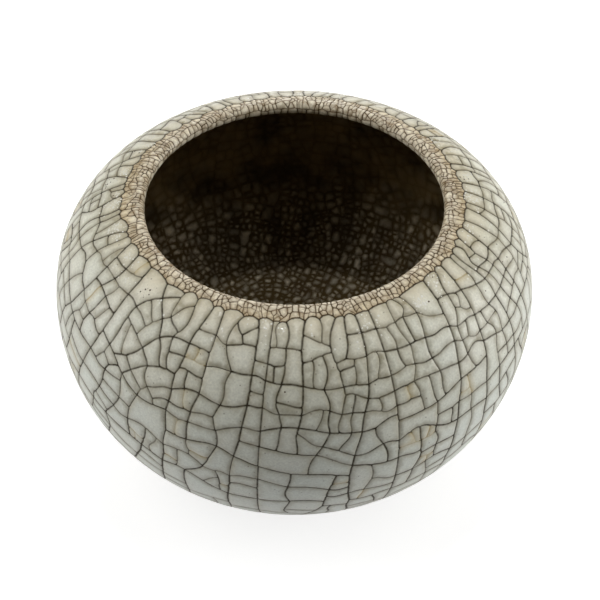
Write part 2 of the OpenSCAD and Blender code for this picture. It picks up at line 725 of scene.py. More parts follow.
    def long_cracks(self, starts: list[int], ends: list[int], rule: CrackRule) -> list[list[int]]:
        """Lays cracks from one ring to another, each calm enough to keep clear of those beside it.

        Args:
            starts: the cracks' first points, in order round the pot.
            ends: their last points.
            rule: how the zone cracks.

        Returns:
            The points of each crack.
        """
        clear = self.CLEAR * 2 * math.pi / len(starts)
        paths: list[tuple[np.ndarray, np.ndarray]] = []
        for i, (start, end) in enumerate(zip(starts, ends)):
            beside = paths[-1:] + (paths[:1] if i == len(starts) - 1 else [])
            for calm in self.CALMS:
                along, turn = self.long_path(self.points[start], self.points[end], rule, calm)
                gaps = [np.angle(np.exp(1j * (turn - np.interp(along, *other)))) for other in beside]
                if all(np.abs(gap).min() > clear for gap in gaps):
                    break
            paths.append((along, turn))
        chains = []
        for (along, turn), start, end in zip(paths, starts, ends):
            places = self.face.flat_radius(along[1:-1]) * np.exp(1j * turn[1:-1])
            chain = [start, *(self.add_point(w) for w in places), end]
            self.lay(chain, Crack(self.random.uniform(*self.EARLY_STRENGTH)))
            self.meeting[start] += 1
            self.meeting[end] += 1
            chains.append(chain)
        return chains

    def long_path(
        self, a: complex, b: complex, rule: CrackRule, calm: float
    ) -> tuple[np.ndarray, np.ndarray]:
        """A way from one point to another that wanders in long waves.

        Args:
            a: the first point.
            b: the last point.
            rule: how the zone cracks.
            calm: share of the full waves.

        Returns:
            How far along the face and at what angle round the pot each point of the way lies.
        """
        far_a, far_b = float(self.face.along(a)), float(self.face.along(b))
        share = np.linspace(0, 1, max(2, int(abs(far_b - far_a) / rule.step)) + 1)
        along = far_a + (far_b - far_a) * share
        turn = np.angle(a) + np.angle(b / a) * share
        radius = self.face.read(self.face.radius, along)
        reach = calm * min(self.SWAY[0], self.SWAY[1] * abs(far_b - far_a))
        for wave in self.LONG_WAVES:
            turn += self.random.gauss(0, self.WANDER * reach / wave) * np.sin(wave * math.pi * share) / radius
        for wave in self.SMALL_WAVES:
            turn += calm * self.random.gauss(0, rule.shake) * np.sin(wave * math.pi * share) / radius
        return along, turn

    def break_up(self, *zones: Zone) -> None:
        """Cracks cells again and again until all are as small as their zone has them.

        Args:
            zones: the cells' zones.
        """
        waiting = deque(cell for cell, zone in self.zones.items() if zone in zones)
        while waiting:
            cell = waiting.popleft()
            rule = RULES[self.zones[cell]]
            outline = self.outline(cell)
            mean = complex(outline.points.mean())
            distance = self.from_lip(mean)
            uphill = mean / abs(mean) if abs(mean) > Outline.AHEAD else 1 + 0j
            middle, axis, slender = outline.long_axis(rule.tallness.at(distance), uphill)
            usual, area = rule.cell_area.at(distance), outline.area()
            goal = usual * math.exp(self.random.gauss(0, rule.variety))
            if area < max(goal * (0.5 if slender > self.SLENDER else 1.0), rule.least_area):
                continue
            strength = self.EARLY_STRENGTH if area > self.EARLY * usual else rule.strength
            crack = Crack(self.random.uniform(*strength))
            for ease in self.EASES:
                eased = replace(rule, run_on=rule.run_on * ease, keep_off=rule.keep_off * ease)
                halves = CellCrack(self, cell, outline, eased).run(middle, axis, crack)
                if halves:
                    break
            waiting.extend(halves)

    def add_threads(self, zone: Zone, chance: float, least: float) -> None:
        """Lays late golden threads across some of the larger cells, on some of them two that meet.

        Args:
            zone: the zone whose cells get them.
            chance: share of the cells that do.
            least: area under which a cell has none.
        """
        for cell in [c for c, z in self.zones.items() if z is zone]:
            if self.random.random() > chance or self.outline(cell).area() < least:
                continue
            halves = self.thread(cell)
            if halves and self.random.random() < self.SECOND_THREAD:
                self.thread(halves[-1])

    def thread(self, cell: int) -> list[int]:
        """Lays one golden thread across a cell.

        Args:
            cell: the cell.

        Returns:
            The two halves, or none where no line would do.
        """
        outline = self.outline(cell)
        middle, axis, _ = outline.long_axis(1.0, 1 + 0j)
        golden = Crack(self.random.uniform(*self.THREAD_STRENGTH), golden=True)
        return CellCrack(self, cell, outline, RULES[self.zones[cell]]).run(middle, axis, golden)

    def borders(self, zones: Sequence[Zone]) -> list[list[int]]:
        """Finds the closed lines that bound some zones together.

        Args:
            zones: the zones.

        Returns:
            The points of each line, the outermost first.
        """
        after: dict[int, int] = {}
        for cell, loop in self.cells.items():
            if self.zones[cell] not in zones:
                continue
            for a, b in round_pairs(loop):
                if self.zones.get(self.left_of.get((b, a), -1)) not in zones:
                    after[a] = b
        loops = []
        while after:
            start = next(iter(after))
            loop = [start]
            while (v := after.pop(loop[-1])) != start:
                loop.append(v)
            loops.append(loop)
        return sorted(loops, key=lambda loop: -abs(self.points[loop[0]]))

    def arch(self, ring: list[int], rise: float, notch: float) -> None:
        """Bends a ring into an arch over each cell that ends on it, with notches at the cracks between.

        Args:
            ring: the ring's points, counter-clockwise.
            rise: greatest height of an arch.
            notch: depth of the notches.
        """
        feet = [i for i, v in enumerate(ring) if self.meeting[v] > 2]
        for i, j in round_pairs(feet):
            span = self.stretch(ring, i, j)
            places = self.places(span)
            gone = np.concatenate([[0.0], np.cumsum(np.abs(np.diff(places)))])
            width = gone[-1] * self.face.unit(places[0])
            height = min(rise, self.ARCH[0] * width) * self.random.uniform(*self.ARCH_SPREAD)
            lift = height * (1 - np.abs(2 * gone / gone[-1] - 1) ** self.ARCH[1]) - notch
            radius = self.face.flat_radius(self.face.along(places) + lift)
            moved = radius * np.exp(1j * np.angle(places))
            for v, place in zip(span[:-1], moved):
                self.points[v] = complex(place)

    def split(self, cell: int, ends: Sequence[CrackEnd], line: np.ndarray, crack: Crack) -> list[int]:
        """Splits a cell along a line.

        Args:
            cell: the cell.
            ends: where the line starts and ends on its border.
            line: the points between.
            crack: what the crack is like.

        Returns:
            The two new cells.
        """
        before = list(self.cells[cell])
        after = before[1:] + before[:1]
        start, end = (
            before[e.index] if e.on_corner else self.cut_side(before[e.index], after[e.index], e.place)
            for e in ends
        )
        loop, zone = self.cells.pop(cell), self.zones.pop(cell)
        turn = loop.index(start)
        loop = loop[turn:] + loop[:turn]
        middle = loop.index(end)
        path = [self.add_point(w) for w in line]
        self.lay([start, *path, end], crack)
        self.meeting[start] += 1
        self.meeting[end] += 1
        one = self.add_cell(loop[: middle + 1] + path[::-1], zone)
        two = self.add_cell(loop[middle:] + [start] + path, zone)
        return [one, two]

    def cut_side(self, a: int, b: int, place: complex) -> int:
        """Puts a new point into a side, for the cells on both sides of it.

        Args:
            a: the side's first point.
            b: its last point.
            place: the new point's place.

        Returns:
            The new point's number.
        """
        v = self.add_point(place)
        self.lay([a, v, b], self.cracks.pop(side_of(a, b)))
        for p, q in ((a, b), (b, a)):
            cell = self.left_of.pop((p, q), None)
            if cell is not None:
                loop = self.cells[cell]
                loop.insert(loop.index(p) + 1, v)
                self.left_of[p, v] = self.left_of[v, q] = cell
        return v

    def settle(self) -> None:
        """Lets the cracks draw a little straight and round off where they meet, but for the outer edge."""
        joined: dict[int, list[int]] = {}
        for a, b in self.cracks:
            joined.setdefault(a, []).append(b)
            joined.setdefault(b, []).append(a)
        edge = float(self.face.flat[0]) * self.EDGE
        rounds: dict[int, int] = {}
        for cell, loop in self.cells.items():
            own = RULES[self.zones[cell]].settle
            for v in loop:
                rounds[v] = min(rounds.get(v, own), own)
        for turn in range(max(rounds.values())):
            moved = {}
            for v, around in joined.items():
                place = self.points[v]
                if rounds[v] > turn and abs(place) < edge:
                    centre = sum(self.points[u] for u in around) / len(around)
                    moved[v] = place + self.EASE * (centre - place)
            for v, place in moved.items():
                self.points[v] = place


@dataclass
class CellCrack:
    """A new crack that looks for its way across one cell."""

    net: CrackNet
    cell: int
    outline: Outline
    rule: CrackRule  # how the crack may run
    TRIES = 20  # lines that are tried at most
    ENOUGH = 8  # lines that would do, of which the best is taken
    HALVES = (0.26, 0.74)  # least and greatest share of the cell on one side
    OFF_MIDDLE = 0.2  # how far from the middle a line may pass, as a share of the cell's size
    MORE_LEAN = 0.12  # how much more it may lean with each try
    SKEW = 1.3  # weight of meeting the border askew, beside unequal halves
    LUCK = 0.25  # weight of chance
    ON_POINT = 0.2  # share of a step within which an end takes a point that is there
    OFF_ENDS = 1.2  # how far from its ends a line has to keep off the border, in parts of keep_off
    OFF_BORDER = 0.6  # how far it then keeps off, in the same parts

    def run(self, middle: complex, axis: complex, crack: Crack) -> list[int]:
        """Cracks the cell across its long axis, along the best of a few tried lines.

        Args:
            middle: the cell's middle.
            axis: direction of its long axis.
            crack: what the new crack is like.

        Returns:
            The two new cells, or none where no line would do.
        """
        outline, rule, draw = self.outline, self.rule, self.net.random
        size = math.sqrt(outline.area()) / outline.unit
        spread = rule.lean.at(self.net.from_lip(middle))
        lines: list[tuple[float, list[CrackEnd], np.ndarray]] = []
        for attempt in range(self.TRIES):
            lean = draw.gauss(0, spread) * (1 + self.MORE_LEAN * attempt)
            start = middle + axis * draw.uniform(-self.OFF_MIDDLE, self.OFF_MIDDLE) * size
            way = axis * 1j * complex(math.cos(lean), math.sin(lean))
            ends = [self.end(start, sign * way) for sign in (-1, 1)]
            if None in ends or abs(ends[1].place - ends[0].place) * outline.unit < rule.keep_off:
                continue
            if ends[0].index == ends[1].index or not outline.holds(np.array([start]))[0]:
                continue
            path = self.line(ends)
            share = outline.part(ends[0], ends[1], path)
            if not self.runs_clear(path) or not self.HALVES[0] < share < self.HALVES[1]:
                continue
            chord = (path[-1] - path[0]) / abs(path[-1] - path[0])
            skew = sum(abs((end.border * chord.conjugate()).real) for end in ends)
            score = self.SKEW * skew + abs(share - 0.5) + draw.uniform(0, self.LUCK)
            lines.append((score, ends, path))
            if len(lines) == self.ENOUGH:
                break
        if not lines:
            return []
        _, ends, path = min(lines, key=lambda line: line[0])
        return self.net.split(self.cell, ends, path[1:-1], crack)

    def end(self, start: complex, way: complex) -> CrackEnd | None:
        """Finds where the crack ends on the cell's border, often where another one ends.

        Args:
            start: the point inside where it sets out.
            way: its direction.

        Returns:
            The end, or None where it would come too near a corner.
        """
        outline, rule = self.outline, self.rule
        met = outline.first_side(start, way)
        if met is None:
            return None
        side, share = met
        total = outline.reach[-1]
        place = outline.reach[side] + share * outline.lengths[side]
        gap = np.abs((outline.reach[:-1] - place + total / 2) % total - total / 2) * outline.unit
        joins = np.array([self.net.meeting[v] for v in self.net.cells[self.cell]])
        border = outline.sides[side] / outline.lengths[side]
        near = np.flatnonzero(~outline.is_corner & (joins == 3) & (gap < rule.catch))
        index = int(gap.argmin())
        if len(near) and self.net.random.random() < rule.run_on:
            index = int(near[gap[near].argmin()])
        elif (gap[outline.is_corner | (joins > 2)] < rule.keep_off).any():
            return None
        elif gap[index] >= self.ON_POINT * rule.step or joins[index] != 2:
            return CrackEnd(side, complex(outline.points[side] + share * outline.sides[side]), False, border)
        return CrackEnd(index, complex(outline.points[index]), True, border)

    def line(self, ends: Sequence[CrackEnd]) -> np.ndarray:
        """A smooth line between two ends that turns to meet the border near a right angle.

        Args:
            ends: the two ends.

        Returns:
            The line's points, with its ends.
        """
        rule, unit, draw = self.rule, self.outline.unit, self.net.random
        chord = ends[1].place - ends[0].place
        ahead = chord / abs(chord)
        leave = rule.squareness * ends[0].border * 1j + (1 - rule.squareness) * ahead
        arrive = rule.squareness * ends[1].border * -1j + (1 - rule.squareness) * ahead
        leave, arrive = leave / abs(leave) * abs(chord), arrive / abs(arrive) * abs(chord)
        t = np.linspace(0, 1, max(2, round(abs(chord) * unit / rule.step)) + 1)
        line = (2 * t**3 - 3 * t**2 + 1) * ends[0].place + (3 * t**2 - 2 * t**3) * ends[1].place
        line = line + (t**3 - 2 * t**2 + t) * leave + (t**3 - t**2) * arrive
        bow, sway = (draw.gauss(0, spread) * abs(chord) for spread in (rule.bow, rule.bow / 2))
        shake = np.array([draw.gauss(0, rule.shake / unit) for _ in t])
        aside = bow * np.sin(math.pi * t) + sway * np.sin(2 * math.pi * t) + shake * (t > 0) * (t < 1)
        line = line + ahead * 1j * aside
        line[0], line[-1] = ends[0].place, ends[1].place
        return line

    def runs_clear(self, line: np.ndarray) -> bool:
        """Tells whether a line stays inside the cell and off its border, but for its ends.

        Args:
            line: the line's points.

        Returns:
            Whether it does.
        """
        inner, unit, keep_off = line[1:-1], self.outline.unit, self.rule.keep_off
        if not self.outline.holds(inner).all():
            return False
        off = np.abs(inner[:, None] - self.outline.points[None, :]).min(axis=1) * unit
        from_ends = np.minimum(np.abs(inner - line[0]), np.abs(inner - line[-1])) * unit
        return not ((from_ends > self.OFF_ENDS * keep_off) & (off < self.OFF_BORDER * keep_off)).any()


# Meshes


@dataclass
class MeshParts:
    """Points, faces and point values of a mesh while it is put together."""

    flat: list[complex] = field(default_factory=list)
    sunk: list[float] = field(default_factory=list)
    values: dict[str, list[float]] = field(default_factory=dict)
    faces: list[tuple[int, ...]] = field(default_factory=list)
    creases: set[Side] = field(default_factory=set)

    def add(self, place: complex, sunk: float, **values: float) -> int:
        """Adds a point.

        Args:
            place: its place on the flat map.
            sunk: how far it lies under the face.
            values: its values, by name.

        Returns:
            Its number.
        """
        self.flat.append(place)
        self.sunk.append(sunk)
        for name, rows in self.values.items():
            rows.append(values.get(name, 0.0))
        return len(self.flat) - 1


def link(obj: Piece) -> Piece:
    """Links an object to the scene and returns it."""
    bpy.context.scene.collection.objects.link(obj)
    return obj


def mesh_object(name: str, places: np.ndarray, parts: MeshParts) -> Piece:
    """Makes a smooth-shaded mesh object at the origin.

    Args:
        name: its name.
        places: its points, in metres.
        parts: its faces, point values and creases.

    Returns:
        The object, linked to the scene.
    """
    mesh = bpy.data.meshes.new(name)
    mesh.from_pydata(places.tolist(), [], parts.faces)
    mesh.update(calc_edges=True)
    mesh.polygons.foreach_set("use_smooth", np.ones(len(mesh.polygons), dtype=bool))
    for key, rows in parts.values.items():
        attribute = mesh.attributes.new(key, "FLOAT", "POINT")
        attribute.data.foreach_set("value", np.array(rows, dtype=np.float32))
    pairs = np.empty(2 * len(mesh.edges), dtype=np.int32)
    mesh.edges.foreach_get("vertices", pairs)
    sharp = [side_of(a, b) in parts.creases for a, b in pairs.reshape(-1, 2).tolist()]
    attribute = mesh.attributes.new("sharp_edge", "BOOLEAN", "EDGE")
    attribute.data.foreach_set("value", np.array(sharp, dtype=bool))
    return link(bpy.data.objects.new(name, mesh))


def triangles(
    points: Iterable[complex], sides: list[Side], grid: float
) -> list[tuple[complex, tuple[int, ...]]]:
    """Fills an outline with triangles.

    Args:
        points: the points of the outline and those inside it.
        sides: the outline's sides, by their points' numbers.
        grid: distance within which points count as one.

    Returns:
        For each triangle between given points, the sum of its corners and their numbers.
    """
    found = delaunay_2d_cdt([(w.real, w.imag) for w in points], sides, [], 1, grid)
    source = [rows[0] if rows else -1 for rows in found[3]]
    return [
        (sum(found[0][k][0] + 1j * found[0][k][1] for k in face), tuple(source[k] for k in face))
        for face in found[2]
        if all(source[k] >= 0 for k in face)
    ]


# Node trees


def linear(hex_colour: str) -> tuple[float, float, float, float]:
    """Turns an sRGB hex colour into linear light.

    Args:
        hex_colour: the colour.

    Returns:
        Its red, green and blue, with full alpha.
    """
    parts = [int(hex_colour[i : i + 2], 16) / 255 for i in (1, 3, 5)]
    r, g, b = [p / 12.92 if p <= 0.04045 else ((p + 0.055) / 1.055) ** 2.4 for p in parts]
    return r, g, b, 1.0


class NodeSheet:
    """A tree of nodes while it is drawn up."""

    def __init__(self, tree: bpy.types.NodeTree) -> None:
        """Takes the tree and empties it."""
        self.tree = tree
        tree.nodes.clear()

    def add(self, kind: str, inputs: dict[Any, Any] | None = None, **settings: Any) -> bpy.types.Node:
        """Adds a node with its settings and links.

        Args:
            kind: Blender's name for the kind of node.
            inputs: a value, or the output to link, for each input by its name or number.
            settings: values of the node's own properties.

        Returns:
            The node.
        """
        node = self.tree.nodes.new(kind)
        for key, value in settings.items():
            setattr(node, key, value)
        for key, value in (inputs or {}).items():
            if isinstance(value, Socket):
                self.tree.links.new(value, node.inputs[key])
            else:
                node.inputs[key].default_value = value
        return node

    def worked(self, operation: str, *values: Any) -> Socket:
        """Works out a number from one to three values."""
        return self.add("ShaderNodeMath", dict(enumerate(values)), operation=operation).outputs["Value"]

    def product(self, *values: Any) -> Socket:
        """Multiplies values, one after the other."""
        return reduce(lambda made, value: self.worked("MULTIPLY", made, value), values)

    def vector(self, operation: str, inputs: dict[Any, Any]) -> Socket:
        """Works out a vector."""
        return self.add("ShaderNodeVectorMath", inputs, operation=operation).outputs["Vector"]

    def ranged(
        self, value: Any, start: Any, end: Any, low: float = 0.0, high: float = 1.0, curve: str = "LINEAR"
    ) -> Socket:
        """Maps a value between start and end onto low to high, which also stand for all beyond them."""
        inputs = {"Value": value, "From Min": start, "From Max": end, "To Min": low, "To Max": high}
        return self.add("ShaderNodeMapRange", inputs, interpolation_type=curve).outputs["Result"]

    def mixed(self, share: Any, one: Socket | str, two: Socket | str) -> Socket:
        """Mixes two colours, each an output or a hex colour, by the share of the second."""
        one, two = (linear(colour) if isinstance(colour, str) else colour for colour in (one, two))
        return self.add("ShaderNodeMix", {0: share, 6: one, 7: two}, data_type="RGBA").outputs[2]


@dataclass(frozen=True)
class Clouds:
    """A cloudy pattern."""

    size: float  # size of its features
    detail: float  # how many finer layers it has
    rough: float = 0.5  # how strong these are
    start: float = 0.0  # the pattern's value where a patch starts
    full: float = 1.0  # the value where it is full


class MaterialSheet(NodeSheet):
    """The tree of a new material, whose patterns follow the place on the object."""

    def __init__(self, name: str) -> None:
        """Makes the material.

        Args:
            name: its name.
        """
        self.material = bpy.data.materials.new(name)
        self.material.use_nodes = True
        super().__init__(self.material.node_tree)
        self.where = self.add("ShaderNodeTexCoord").outputs["Object"]

    def noise(self, clouds: Clouds) -> Socket:
        """The plain values of a cloudy pattern."""
        inputs = {"Scale": 1 / (clouds.size * MM), "Detail": clouds.detail, "Roughness": clouds.rough}
        return self.add("ShaderNodeTexNoise", {"Vector": self.where, **inputs}).outputs["Fac"]

    def patches(self, clouds: Clouds, low: float = 0.0, high: float = 1.0) -> Socket:
        """A cloudy pattern as patches with a low value between them and a high one in them."""
        return self.ranged(self.noise(clouds), clouds.start, clouds.full, low, high)

    def grains(self, size: float) -> dict[str, Socket]:
        """A pattern of grains of a size: the distance from the nearest one, and a colour for each."""
        return self.add("ShaderNodeTexVoronoi", {"Vector": self.where, "Scale": 1 / (size * MM)}).outputs

    def bumped(self, height: Socket, depth: float) -> Socket:
        """A normal that follows a pattern of a given depth."""
        inputs = {"Height": height, "Distance": depth * MM, "Strength": 1.0}
        return self.add("ShaderNodeBump", inputs).outputs["Normal"]

    def surface(self, inputs: dict[str, Any]) -> Material:
        """Ends the tree with its shader.

        Args:
            inputs: a value or an output for each of the shader's inputs.

        Returns:
            The material.
        """
        shader = self.add("ShaderNodeBsdfPrincipled", inputs)
        self.add("ShaderNodeOutputMaterial", {"Surface": shader.outputs["BSDF"]})
        return self.material


class GlazeSheet(MaterialSheet):
    """The tree of a glaze: its colour so far, its coat's own values and the distance from the lip's band."""

    DRIFT = Clouds(7.0, 4.0, 0.6)  # patches of a few millimetres

    def __init__(self, name: str, colour: str) -> None:
        """Makes the material.

        Args:
            name: its name.
            colour: its first colour.
        """
        super().__init__(name)
        self.colour: Socket | str = colour
        self.value = {
            key: self.add("ShaderNodeAttribute", attribute_name=key).outputs["Fac"] for key in COAT_VALUES
        }
        self.away = self.worked("ABSOLUTE", self.value["reach"])
        self.drift = self.noise(self.DRIFT)

    def layer(self, share: Any, colour: Socket | str) -> None:
        """Lays a colour over what is there, by its share."""
        self.colour = self.mixed(share, self.colour, colour)


# Finishes


@dataclass(frozen=True)
class CrackleGlaze:
    """A satin glaze with stained cracks."""

    name: str
    pale: str  # its main colour
    cool: str  # the colour that it clouds into, and turns to away from the lip
    warm: str  # the colour of its faint warm patches
    edge: str  # the colour that it takes next to the lip's band
    crack: str
    crack_force: float = 1.0  # how strongly a full crack shows
    low_force: float = 1.0  # how much more strongly it shows low on the wall, as a factor
    patchy: float = 0.26  # how much that and the stain vary along a crack
    patch_size: float = 1.0  # over what length they do
    blush: tuple[str, str] = ("#E2D3BE", "#CED6CC")  # the two colours that single cells lean to
    # Distances from the lip's band where it starts and ends to turn to the cool colour
    cool_span: tuple[float, float] = (6.0, 36.0)
    edge_reach: float = 3.0  # how far from the band the edge's colour reaches
    stain: str = "#6E5F30"  # the colour that spreads from the cracks
    stain_force: float = 0.75
    grime: str = "#7A6548"  # colour of the dirt in the glaze's hollows
    grime_size: float = 2.2
    grime_force: float = 0.03
    thread: str = "#A88C3A"  # colour of the golden threads and the stain beside them
    speck: str = "#5C4D38"  # colour of the small pits
    speck_size: float = 1.1
    speck_share: float = 0.3
    cell_shade: float = 0.025  # how much lighter or darker single cells are
    cell_lean: float = 0.09  # how far they lean to the colours of the blush
    cloud_force: float = 0.22
    warm_force: float = 0.16
    roughness: tuple[float, float] = (0.34, 0.5)
    shine: float = 0.5  # strength of its reflections, 0.5 for clean glaze
    grain_size: float = 1.2
    grain_bump: float = 0.014
    mottle: float = 0.13  # how much the finest bubbles lighten and darken the glaze
    gloss: float = 0.5  # how much less rough the glossy patches near the lip are, as a share
    gloss_size: float = 4.0
    gloss_reach: float = 7.0  # how far from the band they occur
    peel_size: float = 0.5  # size of the dimples in them
    peel_bump: float = 0.03  # depth of the dimples
    DULL = 0.9  # roughness in a full crack
    LOW = (15.0, 45.0)  # distances from the band where cracks start and end to grow stronger
    COOLED = 0.7  # how far it turns to the cool colour
    WARM = (0.5, 0.75)  # values of the drift where a warm patch starts and where it is full
    STAINED = 1.7  # size of the stain's patches, beside those along a crack
    PIT = (0.08, 0.18, 0.6, 0.0)  # inner and outer edge of a pit, and how strongly it shows there
    CLOUDS = Clouds(14.0, 3.0, start=0.35, full=0.65)  # broad clouds
    FROTH = Clouds(0.4, 1.0, start=0.2, full=0.8)  # the finest bubbles

    def material(self) -> Material:
        """Draws up the glaze: its colour, its cracks and its gloss.

        Returns:
            The material.
        """
        sheet = GlazeSheet(self.name, self.pale)
        self.cloud(sheet)
        self.soil(sheet)
        # The cracks' own stain, golden along the threads
        line = sheet.mixed(sheet.value["gold"], self.crack, self.thread)
        lower = sheet.ranged(sheet.away, *self.LOW, 1.0, self.low_force)
        force = self.varied(sheet, self.crack_force, self.patch_size, 2.0)
        dark = sheet.worked("MINIMUM", sheet.product(force, lower, sheet.value["crack"]), 1.0)
        sheet.layer(dark, line)
        # Glossy dimpled patches near the lip, which break a lamp's reflection up into glints
        near = sheet.ranged(sheet.away, self.gloss_reach, 0.0)
        patch = sheet.product(sheet.patches(Clouds(self.gloss_size, 2.0, start=0.48, full=0.56)), near)
        grain = sheet.noise(Clouds(self.grain_size, 3.0))
        smoother = sheet.worked("MULTIPLY_ADD", patch, -self.gloss, 1.0)
        rough = sheet.product(sheet.ranged(grain, 0.0, 1.0, *self.roughness), smoother)
        dimples = sheet.product(sheet.noise(Clouds(self.peel_size, 1.0)), patch)
        height = sheet.worked("MULTIPLY_ADD", dimples, self.peel_bump / self.grain_bump, grain)
        inputs = {
            "Base Color": sheet.colour,
            "Roughness": sheet.worked("MAXIMUM", rough, sheet.product(dark, self.DULL)),
            "IOR": 1.5,
            "Specular IOR Level": self.shine,
            "Normal": sheet.bumped(height, self.grain_bump),
        }
        return sheet.surface(inputs)

    def varied(self, sheet: GlazeSheet, force: float, size: float, detail: float) -> Socket:
        """A force that varies about its mean along a crack, over lengths of a size."""
        clouds = Clouds(size, detail, start=0.3, full=0.7)
        return sheet.patches(clouds, force * (1 - self.patchy), force * (1 + self.patchy))

    def cloud(self, sheet: GlazeSheet) -> None:
        """Colours the clean glaze: clouds a finger wide, warm patches, and each cell's own shade.

        Args:
            sheet: the glaze's tree.
        """
        cloudy = sheet.patches(self.CLOUDS, high=self.cloud_force)
        lower = sheet.ranged(sheet.away, *self.cool_span, high=self.COOLED)
        sheet.layer(sheet.worked("ADD", cloudy, lower), self.cool)
        sheet.layer(sheet.ranged(sheet.drift, *self.WARM, high=self.warm_force), self.warm)
        for lean, tint in zip((self.cell_lean, -self.cell_lean), self.blush):
            sheet.layer(sheet.worked("MAXIMUM", sheet.product(sheet.value["blush"], lean), 0.0), tint)
        frothy = sheet.patches(self.FROTH, 1 - self.mottle, 1 + self.mottle)
        shade = sheet.worked("MULTIPLY_ADD", sheet.value["tone"], self.cell_shade, frothy)
        shaded = sheet.add("ShaderNodeHueSaturation", {"Value": shade, "Color": sheet.colour})
        sheet.colour = shaded.outputs["Color"]

    def soil(self, sheet: GlazeSheet) -> None:
        """Adds what use has left: the lip's edge, stain beside cracks, rust, dirt and small pits.

        Args:
            sheet: the glaze's tree.
        """
        near = sheet.ranged(sheet.away, 0.0, self.edge_reach, 1.0, 0.0, "SMOOTHSTEP")
        force = self.varied(sheet, self.stain_force, self.STAINED * self.patch_size, 3.0)
        spread = sheet.worked("MINIMUM", sheet.product(sheet.value["stain"], force), 1.0)
        dirt = Clouds(self.grime_size, 5.0, 0.7, start=0.48, full=0.72)
        pits = sheet.grains(self.speck_size)
        pitted = sheet.ranged(pits["Distance"], *self.PIT)
        chosen = sheet.worked("LESS_THAN", pits["Color"], self.speck_share)
        sheet.layer(sheet.product(near, sheet.drift), self.edge)
        sheet.layer(spread, self.stain)
        sheet.layer(sheet.product(sheet.value["rust"], sheet.drift), self.thread)
        sheet.layer(sheet.patches(dirt, high=self.grime_force), self.grime)
        sheet.layer(sheet.product(pitted, chosen), self.speck)


@dataclass(frozen=True)
class SoakedAndShadedGlaze(CrackleGlaze):
    """A crackled glaze that the water in the well has soaked brown in streaks; its upper wall under the
    shoulder is painted brown all over, partly a real soak and partly painted shade.
    """

    # Brown of the upper wall: a real soak that also stands in for the painted shade under the shoulder
    soak_and_shade: str = "#88724A"
    smudge: str = "#35280F"
    soak_and_shade_from: float = 40.0  # distance from the lip's band up to which the upper wall is painted brown all over, as soak and painted shade
    soak_and_shade_to: float = 58.0  # distance from which only streaks are
    soak_and_shade_force: float = 0.88
    streak_w: float = 5.0
    streak_l: float = 30.0
    streak_end: float = 12.0  # how far past the soaked wall they run out
    streak_force: float = 0.6
    tide_at: float = 44.0  # distance of the dark tide mark from the lip's band
    tide_w: float = 7.0
    tide_force: float = 0.8
    around_r: float = 44.0  # radius of the well's wall
    SMUDGES = Clouds(11.0, 4.0, 0.6)  # where the brown upper wall, soak and painted shade, is darker
    STREAK, SMUDGE, TIDE = (0.42, 0.62), (0.4, 0.7), (0.35, 0.65)  # values where each starts and is full

    def soil(self, sheet: GlazeSheet) -> None:
        """Adds the crackle's own stain, the upper wall painted brown as soak and painted shade, and the
        streaks that run down from it.

        Args:
            sheet: the glaze's tree.
        """
        super().soil(sheet)
        reach = sheet.value["reach"]
        out = sheet.vector("NORMALIZE", {0: sheet.vector("MULTIPLY", {0: sheet.where, 1: (1.0, 1.0, 0.0)})})
        across = sheet.vector("SCALE", {0: out, "Scale": self.around_r / self.streak_w})
        drop = sheet.add("ShaderNodeCombineXYZ", {"Z": sheet.worked("DIVIDE", reach, self.streak_l)})
        place = sheet.vector("ADD", {0: across, 1: drop.outputs["Vector"]})
        streaks = sheet.add("ShaderNodeTexNoise", {"Vector": place, "Scale": 1.0, "Detail": 3.0})
        streaky = sheet.ranged(streaks.outputs["Fac"], *self.STREAK, high=self.streak_force)
        ending = sheet.ranged(reach, self.soak_and_shade_to, self.soak_and_shade_to + self.streak_end, 1.0, 0.0)
        sheet.layer(sheet.product(streaky, ending), self.smudge)
        smudges = sheet.noise(self.SMUDGES)
        brown = sheet.mixed(sheet.ranged(smudges, *self.SMUDGE), self.soak_and_shade, self.smudge)
        # The upper wall under the shoulder, painted brown: partly soak, partly painted shade
        high = sheet.ranged(reach, self.soak_and_shade_from, self.soak_and_shade_to, self.soak_and_shade_force, 0.0, "SMOOTHSTEP")
        sheet.layer(high, brown)
        off = sheet.worked("ABSOLUTE", sheet.worked("SUBTRACT", reach, self.tide_at))
        tide = sheet.ranged(off, 0.0, self.tide_w, 1.0, 0.0, "SMOOTHSTEP")
        tide = sheet.product(tide, sheet.ranged(smudges, *self.TIDE, high=self.tide_force))
        sheet.layer(tide, self.smudge)


# Satin grey-white stoneware glaze, thick and slightly cloudy, with cracks stained dark and soft-edged
WALL_GLAZE = CrackleGlaze(
    name="satin_grey_white_glaze",
    pale="#DFDDCB", cool="#D0D6CF", warm="#D9CDAE", edge="#DCD0B2", edge_reach=7.0,
    crack="#292009", low_force=1.4,
)
# The same glaze run thin over the lip, cream from the clay under it, with a finer brown crackle
LIP_GLAZE = CrackleGlaze(
    name="thin_cream_lip_glaze",
    pale="#F4EBD2", cool="#EDE5CD", warm="#DCC89A", edge="#E0CFA6", edge_reach=2.5,
    crack="#483412", crack_force=1.1, patchy=0.55, patch_size=0.8,
    blush=("#E6D2B4", "#DEDAC8"), cell_shade=0.12,
    stain="#7A5A22", stain_force=0.72,
    grime="#6C521E", grime_size=1.4, grime_force=0.65,
    speck_share=0.4, grain_size=0.5, grain_bump=0.04,
)
